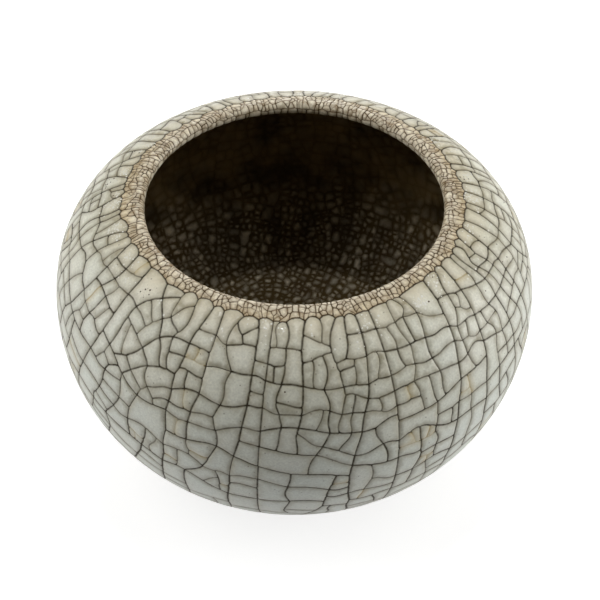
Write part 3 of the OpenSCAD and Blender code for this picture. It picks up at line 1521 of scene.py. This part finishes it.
# The glaze in the well, soaked brown along a fine crackle, so that only the cells' middles stay pale
WELL_GLAZE = SoakedAndShadedGlaze(
    name="brown_soaked_well_glaze",
    pale="#E4DABE", cool="#DED4BC", warm="#DCC898", edge="#A88C5C",
    crack="#453414", crack_force=0.25, thread="#4A3A22",
    blush=("#DCC498", "#D4CEB4"), cell_shade=0.35,
    stain="#5C4A24", stain_force=1.05,
    grime="#4A3216", grime_size=6.0, grime_force=0.5,
    speck="#2A1E10", roughness=(0.6, 0.8), shine=0.2,
)
# The glaze under the base, like the wall's
BASE_GLAZE = CrackleGlaze(
    name="satin_base_glaze",
    pale="#DEDCCC", cool="#D2D4C8", warm="#D6CAAA", edge="#DEDCCC", crack="#2E2618",
)


@dataclass(frozen=True)
class BareStoneware:
    """Stoneware without glaze, fired dark brown, matt and gritty."""

    name: str = "burnt_bare_stoneware"
    body: str = "#5A4433"
    burnt: str = "#3B2A1E"
    grit: str = "#8A6E52"
    grit_size: float = 0.6
    grit_bump: float = 0.04
    roughness: float = 0.85
    SCORCH = Clouds(6.0, 4.0)  # where the clay is burnt darker
    GRAIN = (0.1, 0.3, 0.7, 0.0)  # inner and outer edge of a grain, and how strongly it shows there

    def material(self) -> Material:
        """Draws up the clay: its scorched colour and its grit.

        Returns:
            The material.
        """
        sheet = MaterialSheet(self.name)
        grit = sheet.grains(self.grit_size)["Distance"]
        colour = sheet.mixed(sheet.noise(self.SCORCH), self.body, self.burnt)
        colour = sheet.mixed(sheet.ranged(grit, *self.GRAIN), colour, self.grit)
        normal = sheet.bumped(grit, self.grit_bump)
        return sheet.surface({"Base Color": colour, "Roughness": self.roughness, "Normal": normal})


@dataclass(frozen=True)
class MarkFinish:
    """A finish of small marks, of two colours that run into each other."""

    name: str
    one: str
    two: str
    patch: float  # size of the patches of each
    roughness: float

    def material(self) -> Material:
        """Draws up the finish.

        Returns:
            The material.
        """
        sheet = MaterialSheet(self.name)
        colour = sheet.mixed(sheet.noise(Clouds(self.patch, 2.0)), self.one, self.two)
        return sheet.surface({"Base Color": colour, "Roughness": self.roughness, "IOR": 1.5})


# Iron that has bled through the glaze in pin pricks: dark brown and dull
IRON_SPECK = MarkFinish("iron_specks", "#2B1D10", "#5A4026", patch=1.5, roughness=0.6)
# The clear shiny skin of bubbles that burst and healed at the glaze's surface, which glints in the lamps'
# reflections; its near-white colour, paler than the glaze, also paints faint glints
BUBBLE_SKIN_AND_PAINTED_GLINT = MarkFinish("healed_bubble_skin", "#ECEBE2", "#DEDBCD", patch=0.8, roughness=0.1)


# Pieces


@dataclass
class GlazeCoat:
    """One coat of crackled glaze: a closed shell from its cracked face back to the clay."""

    name: str
    node: str  # the solid that it stands for
    slot: str  # the record's material slot; not used
    finish: CrackleGlaze
    zones: tuple[Zone, ...]  # the zones of glaze that it takes in
    crack_w: float = 0.65  # width of a full crack with its soaked edges
    crack_depth: float = 0.15
    pillow: float = 0.015  # how far a cell's edge lies under its middle
    grain: float = 1.0  # spacing of the points inside a cell
    stain_reach: float = 0.54  # how far a crack's stain spreads into its cells
    stain_edge: float = 1.0  # how sharply it ends there, from 1 for a slow fade
    RUST = (0.35, 1.0)  # weakest and strongest rust beside a golden thread
    RUST_REACH = 0.9  # how far it spreads
    KNOT = 1.4  # how much darker a crack is where others meet it
    THIN = 0.3  # width of the faintest crack, as a share of a full one
    SHARP = 0.4  # least opening of a corner that its inset follows
    SHRINK = 0.7  # share that is left of an inset where it would close up its cell
    LEAST_INSET = 0.05  # share under which an inset shrinks no more
    FACE = 0.3  # least share of its cell that a face takes up
    INNER = 0.4  # how far the points inside keep from the edge, in grains
    LATTICE = 0.87  # height of a triangle of the lattice, as a share of its side
    LOOSE = 0.12  # how far a point of the lattice strays
    BACK_STEP = 6.0  # distance between rows of points on the clay's side
    BACK_TURNS = 48  # points of such a row
    BACK_CLEAR = 0.01  # how far they keep from the coat's edge, as a share of their distance from the axis

    def build(self, net: CrackNet) -> Piece:
        """Builds the coat from its cells of a net.

        Args:
            net: the net.

        Returns:
            The coat's object.
        """
        parts = MeshParts(values={key: [] for key in COAT_VALUES})
        draw = random.Random(len(self.name))
        shared: dict[int, int] = {}
        for cell, loop in net.cells.items():
            if net.zones[cell] in self.zones:
                self.add_cell(net, loop, parts, shared, draw)
        places = net.face.place(np.array(parts.flat), np.array(parts.sunk))
        places = np.concatenate([places, self.add_back(net, parts, shared)])
        obj = mesh_object(self.name, places, parts)
        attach(obj, "root")
        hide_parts(self.node)
        return obj

    def dress(self, obj: Piece) -> Piece:
        """Gives the coat its finish and returns it."""
        obj.data.materials.append(self.finish.material())
        return obj

    def add_cell(
        self, net: CrackNet, loop: list[int], parts: MeshParts, shared: dict[int, int], draw: random.Random
    ) -> None:
        """Adds one cell: its border down in the crack, the edge of its face and the face itself.

        Args:
            net: the net.
            loop: the cell's points in the net.
            parts: the mesh so far.
            shared: the mesh's number for each point of the net.
            draw: the coat's random draws.
        """
        border = net.places(loop)
        middle = complex(border.mean())
        unit = net.face.unit(middle)
        local = (border - middle) * unit
        cracks = [net.cracks[side_of(a, b)] for a, b in round_pairs(loop)]
        tone, blush = draw.uniform(-1, 1), draw.uniform(-1, 1)
        golden = np.array([c.golden for c in cracks])
        rust_force = draw.uniform(*self.RUST) if golden.any() else 0.0
        edge = self.inset(local, cracks)
        inner = self.face_points(edge, draw)
        every = np.concatenate([edge, inner])
        ends = np.roll(local, -1)
        off = self.distance_to_sides(every, local[~golden], ends[~golden])
        stain = np.exp(-((off / self.stain_reach) ** self.stain_edge))
        rust = np.zeros(len(every))
        if golden.any():
            off = self.distance_to_sides(every, local[golden], ends[golden])
            rust = rust_force * np.exp(-((off / self.RUST_REACH) ** 2))
        for i, v in enumerate(loop):
            if v not in shared:
                darkest = max(cracks[i - 1], cracks[i], key=lambda c: c.strength)
                shared[v] = parts.add(
                    net.points[v],
                    self.pillow + self.crack_depth * darkest.strength,
                    crack=darkest.strength * (self.KNOT if net.meeting[v] > 2 else 1.0),
                    gold=float(darkest.golden),
                    rust=rust_force,
                    reach=float(net.face.along(net.points[v])) - net.lip_at,
                    stain=float(not darkest.golden),
                )
        flat = middle + every / unit
        reach = net.face.along(flat) - net.lip_at
        sunk = [self.pillow] * len(edge) + [0.0] * len(inner)
        new = []
        for i, place in enumerate(flat):
            own = {"rust": rust[i], "tone": tone, "blush": blush, "reach": reach[i], "stain": stain[i]}
            new.append(parts.add(complex(place), sunk[i], **own))
        sides = list(round_pairs(list(range(len(loop)))))
        parts.faces += [(shared[loop[i]], shared[loop[j]], new[j], new[i]) for i, j in sides]
        parts.faces += [tuple(new[k] for k in face) for _, face in triangles(every, sides, grid=1e-6)]

    def inset(self, local: np.ndarray, cracks: Sequence[Crack]) -> np.ndarray:
        """The edge of a cell's face, half a crack in from its border, or less where the cell is narrow.

        Args:
            local: the border's points, in millimetres about the cell's middle.
            cracks: the crack along each side of the border.

        Returns:
            One point for each point of the border.
        """
        sides = np.roll(local, -1) - local
        inward = sides / np.abs(sides) * 1j
        half = np.array([self.crack_w / 2 * (self.THIN + (1 - self.THIN) * c.strength) for c in cracks])
        bisector = inward + np.roll(inward, 1)
        bisector = bisector / np.maximum(np.abs(bisector), 1e-6)
        open_by = np.maximum((bisector * inward.conjugate()).real, self.SHARP)
        offset = bisector * (half + np.roll(half, 1)) / 2 / open_by
        share = 1.0
        while share > self.LEAST_INSET:
            edge = local + offset * share
            forward = ((np.roll(edge, -1) - edge) * sides.conjugate()).real
            if twice_area(edge) > self.FACE * twice_area(local) and (forward > 0).all():
                break
            share *= self.SHRINK
        return edge

    def face_points(self, edge: np.ndarray, draw: random.Random) -> np.ndarray:
        """Lays points inside a cell's face, on a loose triangular lattice clear of its edge.

        Args:
            edge: the edge's points.
            draw: the coat's random draws.

        Returns:
            The points.
        """
        grain, outline = self.grain, Outline(edge)
        low = complex(edge.real.min(), edge.imag.min())
        span = complex(edge.real.max(), edge.imag.max()) - low
        lattice = []
        for row in range(int(span.imag / (grain * self.LATTICE)) + 1):
            for column in range(int(span.real / grain) + 2):
                across, up = grain * (column - 0.25 + 0.5 * (row % 2)), grain * self.LATTICE * (row + 0.5)
                stray = complex(*(draw.uniform(-self.LOOSE, self.LOOSE) for _ in range(2)))
                lattice.append(low + complex(across, up) + grain * stray)
        points = np.array(lattice)
        points = points[outline.holds(points)]
        if len(points):
            points = points[self.distance_to_sides(points, edge, outline.next) > self.INNER * grain]
        centre = np.array([edge.mean()])
        return points if len(points) else centre[outline.holds(centre)]

    @staticmethod
    def distance_to_sides(points: np.ndarray, starts: np.ndarray, ends: np.ndarray) -> np.ndarray:
        """Measures how near points lie to some sides.

        Args:
            points: the points.
            starts: where the sides start.
            ends: where they end.

        Returns:
            Each point's distance from the nearest side.
        """
        sides = ends - starts
        gap = points[:, None] - starts[None, :]
        share = np.clip((gap * sides.conjugate()).real / np.abs(sides) ** 2, 0, 1)
        return np.abs(gap - share * sides[None, :]).min(axis=1)

    def add_back(self, net: CrackNet, parts: MeshParts, shared: dict[int, int]) -> np.ndarray:
        """Closes the coat: its rims down to the clay, and the side that lies on the clay.

        Args:
            net: the net.
            parts: the mesh so far.
            shared: the mesh's number for each point of the net.

        Returns:
            The new points, in metres.
        """
        loops = net.borders(self.zones)
        sides = [side for loop in loops for side in round_pairs(loop)]
        ring = [v for loop in loops for v in loop]
        at = {v: i for i, v in enumerate(ring)}
        outlines = [Outline(net.places(loop)) for loop in loops]
        inner = outlines[1] if len(outlines) > 1 else None
        far = [float(net.face.along(outline.points).mean()) for outline in outlines]
        last = far[1] if inner else float(net.face.far[-1])
        rows = np.arange(far[0] + self.BACK_STEP / 2, last, self.BACK_STEP)
        turns = np.exp(1j * np.linspace(0, 2 * math.pi, self.BACK_TURNS, endpoint=False))
        grid = (net.face.flat_radius(rows)[:, None] * turns[None, :]).ravel()
        keep = outlines[0].holds(grid) & (~inner.holds(grid) if inner else True)
        edge = net.places(ring)
        clear = np.abs(grid[:, None] - edge[None, :]).min(axis=1) > self.BACK_CLEAR * np.abs(grid)
        flat = np.concatenate([edge, grid[keep & clear], [] if inner else [0j]])
        first = len(parts.flat)
        for w in flat:
            parts.add(w, 0.0)
        for corners, face in triangles(flat, [(at[a], at[b]) for a, b in sides], grid=1e-7):
            if inner is None or not inner.holds(np.array([corners / 3]))[0]:
                parts.faces.append(tuple(first + k for k in reversed(face)))
        for a, b in sides:
            back_a, back_b = first + at[a], first + at[b]
            parts.faces.append((shared[a], back_a, back_b, shared[b]))
            parts.creases |= {side_of(shared[a], shared[b]), side_of(back_a, back_b)}
        return net.face.place(flat, 0.0, clay=True)


class GeometrySheet(NodeSheet):
    """A tree of geometry nodes with an input for each of some named settings."""

    KINDS = {int: "NodeSocketInt", float: "NodeSocketFloat", Material: "NodeSocketMaterial"}

    def __init__(self, name: str, settings: dict[str, Any]) -> None:
        """Starts the tree.

        Args:
            name: its name.
            settings: a value for each named input.
        """
        super().__init__(bpy.data.node_groups.new(name, "GeometryNodeTree"))
        self.settings = settings
        face = self.tree.interface
        face.new_socket("Geometry", in_out="INPUT", socket_type="NodeSocketGeometry")
        for label, value in settings.items():
            kind = next(kind for base, kind in self.KINDS.items() if isinstance(value, base))
            face.new_socket(label, in_out="INPUT", socket_type=kind)
        face.new_socket("Geometry", in_out="OUTPUT", socket_type="NodeSocketGeometry")
        self.given = {output.name: output for output in self.add("NodeGroupInput").outputs if output.name}

    def end(self, made: Socket, finish: Socket) -> None:
        """Ends the tree with plain geometry in its finish.

        Args:
            made: the geometry.
            finish: its material.
        """
        real = self.add("GeometryNodeRealizeInstances", {"Geometry": made}).outputs["Geometry"]
        done = self.add("GeometryNodeSetMaterial", {"Geometry": real, "Material": finish})
        self.add("NodeGroupOutput", {"Geometry": done.outputs["Geometry"]})

    def grow(self, obj: Piece) -> None:
        """Runs the tree on an object and keeps the result as its plain mesh.

        Args:
            obj: the object.
        """
        modifier = obj.modifiers.new(self.tree.name, "NODES")
        modifier.node_group = self.tree
        for item in self.tree.interface.items_tree:
            if item.in_out == "INPUT" and item.name in self.settings:
                modifier[item.identifier] = self.settings[item.name]
        bpy.context.view_layer.update()
        mesh = bpy.data.meshes.new_from_object(obj.evaluated_get(bpy.context.evaluated_depsgraph_get()))
        obj.modifiers.remove(modifier)
        obj.data = mesh
        mesh.name = obj.name


@dataclass
class ClayBody:
    """The thrown and turned pot under the glaze, bare on the foot, where turning has left its marks."""

    section: PotSection
    finish: BareStoneware = BareStoneware()
    steps_round: int = 144
    mark_depth: float = 0.07  # depth of the marks of turning
    mark_pitch: float = 0.45  # distance between them
    seed: float = 3.0  # fixes how the marks vary
    BASE_STEPS = 6  # steps of the section under the base
    RECESS_STEPS = (10, 14)  # steps down the recess's wall, and how many would take up all of it
    EDGE_STEPS = 6  # steps round each edge of the foot
    FOOT_STEPS = 12  # steps up its outer wall
    WALL_STEP = 2.5  # length of the steps over the rest of the pot
    WALL_LEAST = 6  # least number of them on one stretch

    def profile(self) -> list[complex]:
        """Draws the clay's section from the axis under the base, round foot and lip, into the well.

        Returns:
            Its points, as radius and height.
        """
        cut, edge_r = self.section, self.section.foot_edge_r
        inner = complex(cut.recess_r + edge_r, edge_r)
        outer = complex(cut.foot_r - cut.foot_lean - edge_r, edge_r)
        low, high = outer + edge_r, complex(cut.foot_r, cut.foot_h)
        flat, (kept, steps), deep = self.BASE_STEPS, self.RECESS_STEPS, cut.recess_depth
        rows = [complex(cut.recess_r * i / flat, deep) for i in range(flat + 1)]
        rows += [complex(cut.recess_r, deep * (1 - i / steps)) for i in range(1, kept + 1)]
        for centre, start in ((inner, 180), (outer, -90)):
            turns = [start + 90 / self.EDGE_STEPS * i for i in range(self.EDGE_STEPS + 1)]
            rows += [centre + edge_r * toward(turn) for turn in turns]
        rows += [low + (high - low) * i / self.FOOT_STEPS for i in range(1, self.FOOT_STEPS + 1)]
        for stretch in cut.outside() + cut.lip() + cut.well():
            count = max(self.WALL_LEAST, round(stretch.length() / self.WALL_STEP))
            for i in range(1, count + 1):
                place, facing, coat = stretch.at(i / count)
                rows.append(place - facing * coat)
        return rows

    def build(self) -> Piece:
        """Turns the section round the axis.

        Returns:
            The pot's object.
        """
        places = np.array([(w.real, 0.0, w.imag) for w in self.profile()]) * MM
        obj = mesh_object("turned_clay", places, MeshParts())
        settings = {
            "Steps round": self.steps_round,
            "Mark depth": self.mark_depth * MM,
            "Mark pitch": self.mark_pitch * MM,
            "Foot height": self.section.foot_h * MM,
            "Foot middle": (self.section.recess_r + self.section.foot_r) / 2 * MM,
            "Seed": self.seed,
            "Clay": self.finish.material(),
        }
        sheet = GeometrySheet("turned_clay", settings)
        self.turn(sheet)
        sheet.grow(obj)
        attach(obj, "root")
        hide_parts("clay_body")
        return obj

    @staticmethod
    def turn(sheet: GeometrySheet) -> None:
        """Draws up the tree that turns a section and cuts marks of turning into its foot.

        Args:
            sheet: the tree.
        """
        add, worked, given = sheet.add, sheet.worked, sheet.given
        line = {"Geometry": given["Geometry"]}
        points = add("GeometryNodeAttributeDomainSize", line, component="MESH").outputs["Point Count"]
        around = worked("ADD", given["Steps round"], 1.0)
        counts = {"Size X": 1.0, "Size Y": 1.0, "Vertices X": around, "Vertices Y": points}
        grid = add("GeometryNodeMeshGrid", counts).outputs["Mesh"]
        here = add("GeometryNodeInputPosition").outputs["Position"]
        share = add("ShaderNodeSeparateXYZ", {"Vector": here}).outputs
        up = worked("ADD", share["Y"], 0.5)
        row = worked("ROUND", sheet.product(up, worked("SUBTRACT", points, 1.0)))
        sample = add("GeometryNodeSampleIndex", {**line, "Index": row}, data_type="FLOAT_VECTOR")
        sheet.tree.links.new(here, sample.inputs["Value"])
        point = add("ShaderNodeSeparateXYZ", {"Vector": sample.outputs["Value"]}).outputs
        radius, height = point["X"], point["Z"]
        # Marks that vary along the section, on the foot alone, cut into the clay from either side
        path = worked("DIVIDE", worked("ADD", radius, height), given["Mark pitch"])
        path = worked("ADD", path, given["Seed"])
        marks = add("ShaderNodeTexNoise", {"W": path, "Scale": 1.0}, noise_dimensions="1D").outputs["Fac"]
        bare = worked("LESS_THAN", height, given["Foot height"])
        side = worked("SIGN", worked("SUBTRACT", given["Foot middle"], radius))
        depth = sheet.product(marks, given["Mark depth"], bare)
        outer = worked("MULTIPLY_ADD", depth, side, radius)
        turn = worked("MULTIPLY_ADD", share["X"], 2 * math.pi, math.pi)
        flat = add("ShaderNodeCombineXYZ", {"X": outer, "Z": height}).outputs["Vector"]
        spun = add("ShaderNodeVectorRotate", {"Vector": flat, "Angle": turn}, rotation_type="Z_AXIS")
        made = grid
        for kind, inputs in (
            ("GeometryNodeSetPosition", {"Position": spun.outputs["Vector"]}),
            ("GeometryNodeMergeByDistance", {"Distance": 1e-6}),
            ("GeometryNodeSetShadeSmooth", {}),
        ):
            made = add(kind, {"Geometry": made, **inputs}).outputs["Geometry"]
        sheet.end(made, given["Clay"])


@dataclass
class StrewnMarks:
    """Small flat marks strewn in loose clusters on the shoulder's glaze, thickest near the lip."""

    name: str
    finish: MarkFinish
    density: float  # marks on a square centimetre, where they are thickest
    least: float  # least radius of a mark
    most: float
    flatness: float  # a mark's thickness as a share of its width
    reach: float  # how far down from the lip they occur
    cluster: float
    bare: float  # share of the shoulder between the clusters, from 0 to 1
    seed: int  # fixes where they lie
    PER_METRE = 1e4  # square centimetres in a square metre
    OFF_BAND = 0.2  # how far from the lip's band they start
    THICKEST = 0.75  # value of the clusters' pattern from which they are thickest
    CLEAN = (0.6, 0.4)  # stain from which there are none, and up to which it makes no odds

    def build(self, coat: Piece) -> Piece:
        """Strews the marks on a coat.

        Args:
            coat: the coat.

        Returns:
            The marks' object.
        """
        obj = link(bpy.data.objects.new(self.name, coat.data.copy()))
        settings = {
            "Density": self.density * self.PER_METRE,
            "Least radius": self.least * MM,
            "Greatest radius": self.most * MM,
            "Flatness": self.flatness,
            "Reach": self.reach,
            "Cluster size": self.cluster * MM,
            "Bare share": self.bare,
            "Seed": self.seed,
            "Finish": self.finish.material(),
        }
        sheet = GeometrySheet("strewn_marks", settings)
        self.strew(sheet)
        sheet.grow(obj)
        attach(obj, "root")
        return obj

    @classmethod
    def strew(cls, sheet: GeometrySheet) -> None:
        """Draws up the tree that strews flat marks on a coat, clear of the cracks.

        Args:
            sheet: the tree.
        """
        add, worked, given = sheet.add, sheet.worked, sheet.given
        reach, stain = (
            add("GeometryNodeInputNamedAttribute", {"Name": name}, data_type="FLOAT").outputs["Attribute"]
            for name in ("reach", "stain")
        )
        away = worked("MULTIPLY", reach, -1.0)
        near = sheet.ranged(away, given["Reach"], 1.0)
        front = worked("GREATER_THAN", away, cls.OFF_BAND)
        here = add("GeometryNodeInputPosition").outputs["Position"]
        closer = worked("DIVIDE", 1.0, given["Cluster size"])
        loosely = {"Vector": here, "W": given["Seed"], "Scale": closer, "Detail": 2.0}
        loose = add("ShaderNodeTexNoise", loosely, noise_dimensions="4D").outputs["Fac"]
        cluster = sheet.ranged(loose, given["Bare share"], cls.THICKEST)
        clear = sheet.ranged(stain, *cls.CLEAN)
        density = sheet.product(near, cluster, front, clear, given["Density"])
        strewing = {"Mesh": given["Geometry"], "Density": density, "Seed": given["Seed"]}
        points = add("GeometryNodeDistributePointsOnFaces", strewing).outputs
        blob = add("GeometryNodeMeshIcoSphere", {"Radius": 1.0, "Subdivisions": 2}).outputs["Mesh"]
        shape = add("ShaderNodeCombineXYZ", {"X": 1.0, "Y": 1.0, "Z": given["Flatness"]}).outputs["Vector"]
        flat = add("GeometryNodeTransform", {"Geometry": blob, "Scale": shape}).outputs["Geometry"]
        sizes = {2: given["Least radius"], 3: given["Greatest radius"], "Seed": given["Seed"]}
        size = add("FunctionNodeRandomValue", sizes, data_type="FLOAT").outputs[1]
        placing = {key: points[key] for key in ("Points", "Rotation")}
        strewn = add("GeometryNodeInstanceOnPoints", {**placing, "Instance": flat, "Scale": size})
        sheet.end(strewn.outputs["Instances"], given["Finish"])


@dataclass
class GlazedPot:
    """The coats of glaze on the pot, cut from one net of cracks that runs over the lip."""

    section: PotSection
    seed: int = 131
    long_wall_cracks: int = 23
    long_well_cracks: int = 17
    band_cracks: int = 84
    rim_cracks: int = 92
    base_cracks: int = 9
    ridge_past: float = 2.2  # how far past the shoulder the crack along the lip's ridge runs
    well_before: float = 0.3  # how far before the lip's end the well's own crackle starts
    eye_reach: float = 24.0  # how far from the axis the round crack on the well's floor runs
    base_eye: float = 0.6  # where the round crack under the base runs, as a share of the recess

    def net(self) -> CrackNet:
        """Cracks the glaze from the foot ring over the lip to the middle of the well.

        Returns:
            The net of cracks.
        """
        face = GlazedFace(self.section.outside() + self.section.lip() + self.section.well())
        shoulder_end, lip_end = face.ends[1], face.ends[2]
        band_at = shoulder_end - self.section.lip_band_w
        net = CrackNet(face, band_at, self.seed)
        foot = net.ring(0.0, spacing=1.2, strength=0.0)
        band = net.ring(band_at, spacing=0.55, strength=1.0, waves=[(3, 0.3), (16, 0.25)])
        net.strips(foot, band, self.long_wall_cracks, Zone.WALL, sway=0.14)
        net.break_up(Zone.WALL)
        band = net.borders([Zone.WALL])[1][::-1]
        net.arch(band, rise=0.75, notch=0.35)
        ridge_at, eye_at = shoulder_end + self.ridge_past, float(face.far[-1]) - self.eye_reach
        ridge = net.ring(ridge_at, spacing=0.5, strength=0.6, waves=[(30, 0.2), (60, 0.15)])
        well = net.ring(lip_end - self.well_before, spacing=0.5, strength=0.9, waves=[(14, 0.15)])
        eye = net.ring(eye_at, spacing=0.9, strength=0.8, waves=[(5, 1.5), (11, 0.8)])
        net.strips(band, ridge, self.band_cracks, Zone.BAND, sway=0.01)
        net.strips(ridge, well, self.rim_cracks, Zone.RIM, sway=0.005)
        net.strips(well, eye, self.long_well_cracks, Zone.WELL, sway=0.06)
        net.add_cell(eye, Zone.WELL)
        net.break_up(Zone.BAND, Zone.RIM, Zone.WELL)
        net.add_threads(Zone.WALL, chance=0.13, least=14.0)
        net.settle()
        return net

    def base_net(self) -> CrackNet:
        """Cracks the glaze under the base, as glaze far from the lip.

        Returns:
            The net of cracks.
        """
        net = CrackNet(GlazedFace(self.section.base(), turn=-1), lip_at=-20.0, seed=self.seed + 1)
        edge = net.ring(0.0, spacing=1.0, strength=0.3)
        eye = net.ring(self.section.recess_r * self.base_eye, spacing=0.9, strength=0.9, waves=[(4, 0.8)])
        net.strips(edge, eye, self.base_cracks, Zone.BASE, sway=0.1)
        net.add_cell(eye, Zone.BASE)
        net.break_up(Zone.BASE)
        net.settle()
        return net

    def build(self) -> list[Piece]:
        """Builds and dresses the four coats.

        Returns:
            Their objects.
        """
        net, base = self.net(), self.base_net()
        wall = GlazeCoat("wall_glaze", "outer_glaze", "outer_glaze", WALL_GLAZE, (Zone.WALL,))
        lip = GlazeCoat(
            "lip_band_glaze", "lip_glaze", "lip_glaze", LIP_GLAZE, (Zone.BAND, Zone.RIM),
            crack_w=0.42, crack_depth=0.08, pillow=0.05, grain=0.6, stain_reach=0.34,
        )
        well = GlazeCoat(
            "well_glaze", "inner_glaze", "inner_glaze", WELL_GLAZE, (Zone.WELL,),
            crack_w=0.4, crack_depth=0.06, pillow=0.02, grain=0.8, stain_reach=0.5, stain_edge=2.0,
        )
        recess = GlazeCoat("recess_glaze", "base_glaze", "base_glaze", BASE_GLAZE, (Zone.BASE,))
        coats = ((wall, net), (lip, net), (well, net), (recess, base))
        return [coat.dress(coat.build(source)) for coat, source in coats]


# The studio


@dataclass(frozen=True)
class SoftLamp:
    """One large soft lamp, aimed at the pot; lengths are in metres."""

    name: str
    place: tuple[float, float, float]
    size: float
    power: float


@dataclass
class Studio:
    """A white floor, soft lamps and the camera of the photographed view."""

    section: PotSection
    distance: float = 300.0
    elevation: float = 44.16
    focal_px: float = 1410.0
    image_px: float = 600.0
    target_px: tuple[float, float] = (294.3, 286.4)
    floor_r: float = 1500.0
    floor_sides: int = 64
    floor_colour: str = "#C4C3C2"
    floor_gap: float = 0.03
    floor_glow: float = 0.75
    glow_reach: tuple[float, float] = (110.0, 450.0)
    ambient: float = 0.05
    lamps: tuple[SoftLamp, ...] = (
        SoftLamp("overhead_lamp", (0.0, 0.0, 0.8), 0.05, 0.66),
        SoftLamp("rear_overhead_lamp", (0.0, 0.45, 0.75), 0.5, 1.2),
        SoftLamp("rear_lamp", (0.0, 0.85, 0.35), 0.5, 1.85),
        SoftLamp("high_left_lamp", (-0.5, 0.0, 0.7), 0.6, 2.0),
        SoftLamp("low_left_lamp", (-0.85, 0.0, 0.15), 0.6, 3.5),
        SoftLamp("high_right_lamp", (0.5, 0.0, 0.7), 0.6, 1.5),
        SoftLamp("low_right_lamp", (0.85, 0.0, 0.15), 0.6, 5.3),
    )
    SENSOR = 36.0  # width of the camera's sensor
    CLIP = 0.01  # least distance that it sees, in metres

    def build(self) -> None:
        """Builds the floor, the lamps, the surroundings and the camera."""
        self.add_camera()
        self.add_floor()
        self.add_surroundings()
        for lamp in self.lamps:
            self.add_lamp(lamp)

    def add_camera(self) -> None:
        """Adds the camera, aimed at the middle of the belly."""
        data = bpy.data.cameras.new("camera")
        data.sensor_width = self.SENSOR
        data.sensor_fit = "HORIZONTAL"
        data.lens = self.SENSOR * self.focal_px / self.image_px
        data.shift_x = (self.image_px / 2 - self.target_px[0]) / self.image_px
        data.shift_y = (self.target_px[1] - self.image_px / 2) / self.image_px
        data.clip_start = self.CLIP
        camera = link(bpy.data.objects.new("camera", data))
        up = math.radians(self.elevation)
        height = self.section.belly.imag + self.distance * math.sin(up)
        camera.location = (0.0, -self.distance * math.cos(up) * MM, height * MM)
        camera.rotation_euler = (math.pi / 2 - up, 0.0, 0.0)
        bpy.context.scene.camera = camera

    def add_floor(self) -> None:
        """Adds the floor: pale paper with a glow that only the eye and reflections see, to stay white."""
        sides = self.floor_sides
        turns = np.exp(1j * np.linspace(0, 2 * math.pi, sides, endpoint=False)) * self.floor_r
        places = np.column_stack([turns.real, turns.imag, np.full(sides, -self.floor_gap)]) * MM
        floor = mesh_object("floor", places, MeshParts(faces=[tuple(range(sides))]))
        sheet = MaterialSheet("white_paper_floor")
        ray = sheet.add("ShaderNodeLightPath").outputs
        seen = sheet.worked("MAXIMUM", ray["Is Camera Ray"], ray["Is Glossy Ray"])
        seen = sheet.worked("MAXIMUM", seen, ray["Is Transmission Ray"])
        off = sheet.add("ShaderNodeVectorMath", {0: sheet.where}, operation="LENGTH").outputs["Value"]
        near, far = (reach * MM for reach in self.glow_reach)
        glowing = sheet.ranged(off, near, far, self.floor_glow, 1.0, "SMOOTHSTEP")
        paper = sheet.add("ShaderNodeBsdfDiffuse", {"Color": linear(self.floor_colour)})
        glow = sheet.add("ShaderNodeEmission", {"Strength": sheet.product(seen, glowing)})
        both = sheet.add("ShaderNodeAddShader", {0: paper.outputs["BSDF"], 1: glow.outputs["Emission"]})
        sheet.add("ShaderNodeOutputMaterial", {"Surface": both.outputs["Shader"]})
        floor.data.materials.append(sheet.material)

    def add_surroundings(self) -> None:
        """Adds the even light from all round, white where the camera looks past the floor."""
        world = bpy.data.worlds.new("surroundings")
        world.use_nodes = True
        sheet = NodeSheet(world.node_tree)
        ray = sheet.add("ShaderNodeLightPath").outputs
        strength = sheet.ranged(ray["Is Camera Ray"], 0.0, 1.0, self.ambient, 1.0)
        sky = sheet.add("ShaderNodeBackground", {"Color": (1, 1, 1, 1), "Strength": strength})
        sheet.add("ShaderNodeOutputWorld", {"Surface": sky.outputs["Background"]})
        bpy.context.scene.world = world

    def add_lamp(self, lamp: SoftLamp) -> None:
        """Adds one lamp, turned towards the pot.

        Args:
            lamp: the lamp.
        """
        data = bpy.data.lights.new(lamp.name, "AREA")
        data.shape = "DISK"
        data.size = lamp.size
        data.energy = lamp.power
        obj = link(bpy.data.objects.new(lamp.name, data))
        obj.location = lamp.place
        x, y, z = lamp.place
        z -= self.section.belly.imag * MM
        obj.rotation_euler = (math.atan2(math.hypot(x, y), z), 0.0, math.atan2(x, -y) if x or y else 0.0)


def main() -> None:
    """Builds the pot and the studio in order and reports each piece."""
    logging.basicConfig(level=logging.INFO, format="%(name)s: %(message)s")
    bpy.context.scene.view_settings.view_transform = "Standard"
    section = PotSection.from_frame()
    Studio(section).build()
    coats = GlazedPot(section).build()
    pricks = StrewnMarks(
        "iron_pin_pricks", IRON_SPECK, density=260.0, least=0.05, most=0.21, flatness=0.2,
        reach=15.0, cluster=4.5, bare=0.6, seed=5,
    )
    # Healed bubbles near the lip: their near-white colour paints faint glints, beside the real reflections of
    # their gloss
    bubbles_and_painted_glints = StrewnMarks(
        "healed_bubbles", BUBBLE_SKIN_AND_PAINTED_GLINT, density=1300.0, least=0.09, most=0.24, flatness=0.11,
        reach=7.0, cluster=5.0, bare=0.5, seed=8,
    )
    pieces = [ClayBody(section).build(), *coats, *(marks.build(coats[0]) for marks in (pricks, bubbles_and_painted_glints))]
    for obj in pieces:
        LOG.info("%s has %d points and %d faces", obj.name, len(obj.data.vertices), len(obj.data.polygons))


if __name__ == "__main__":
    main()
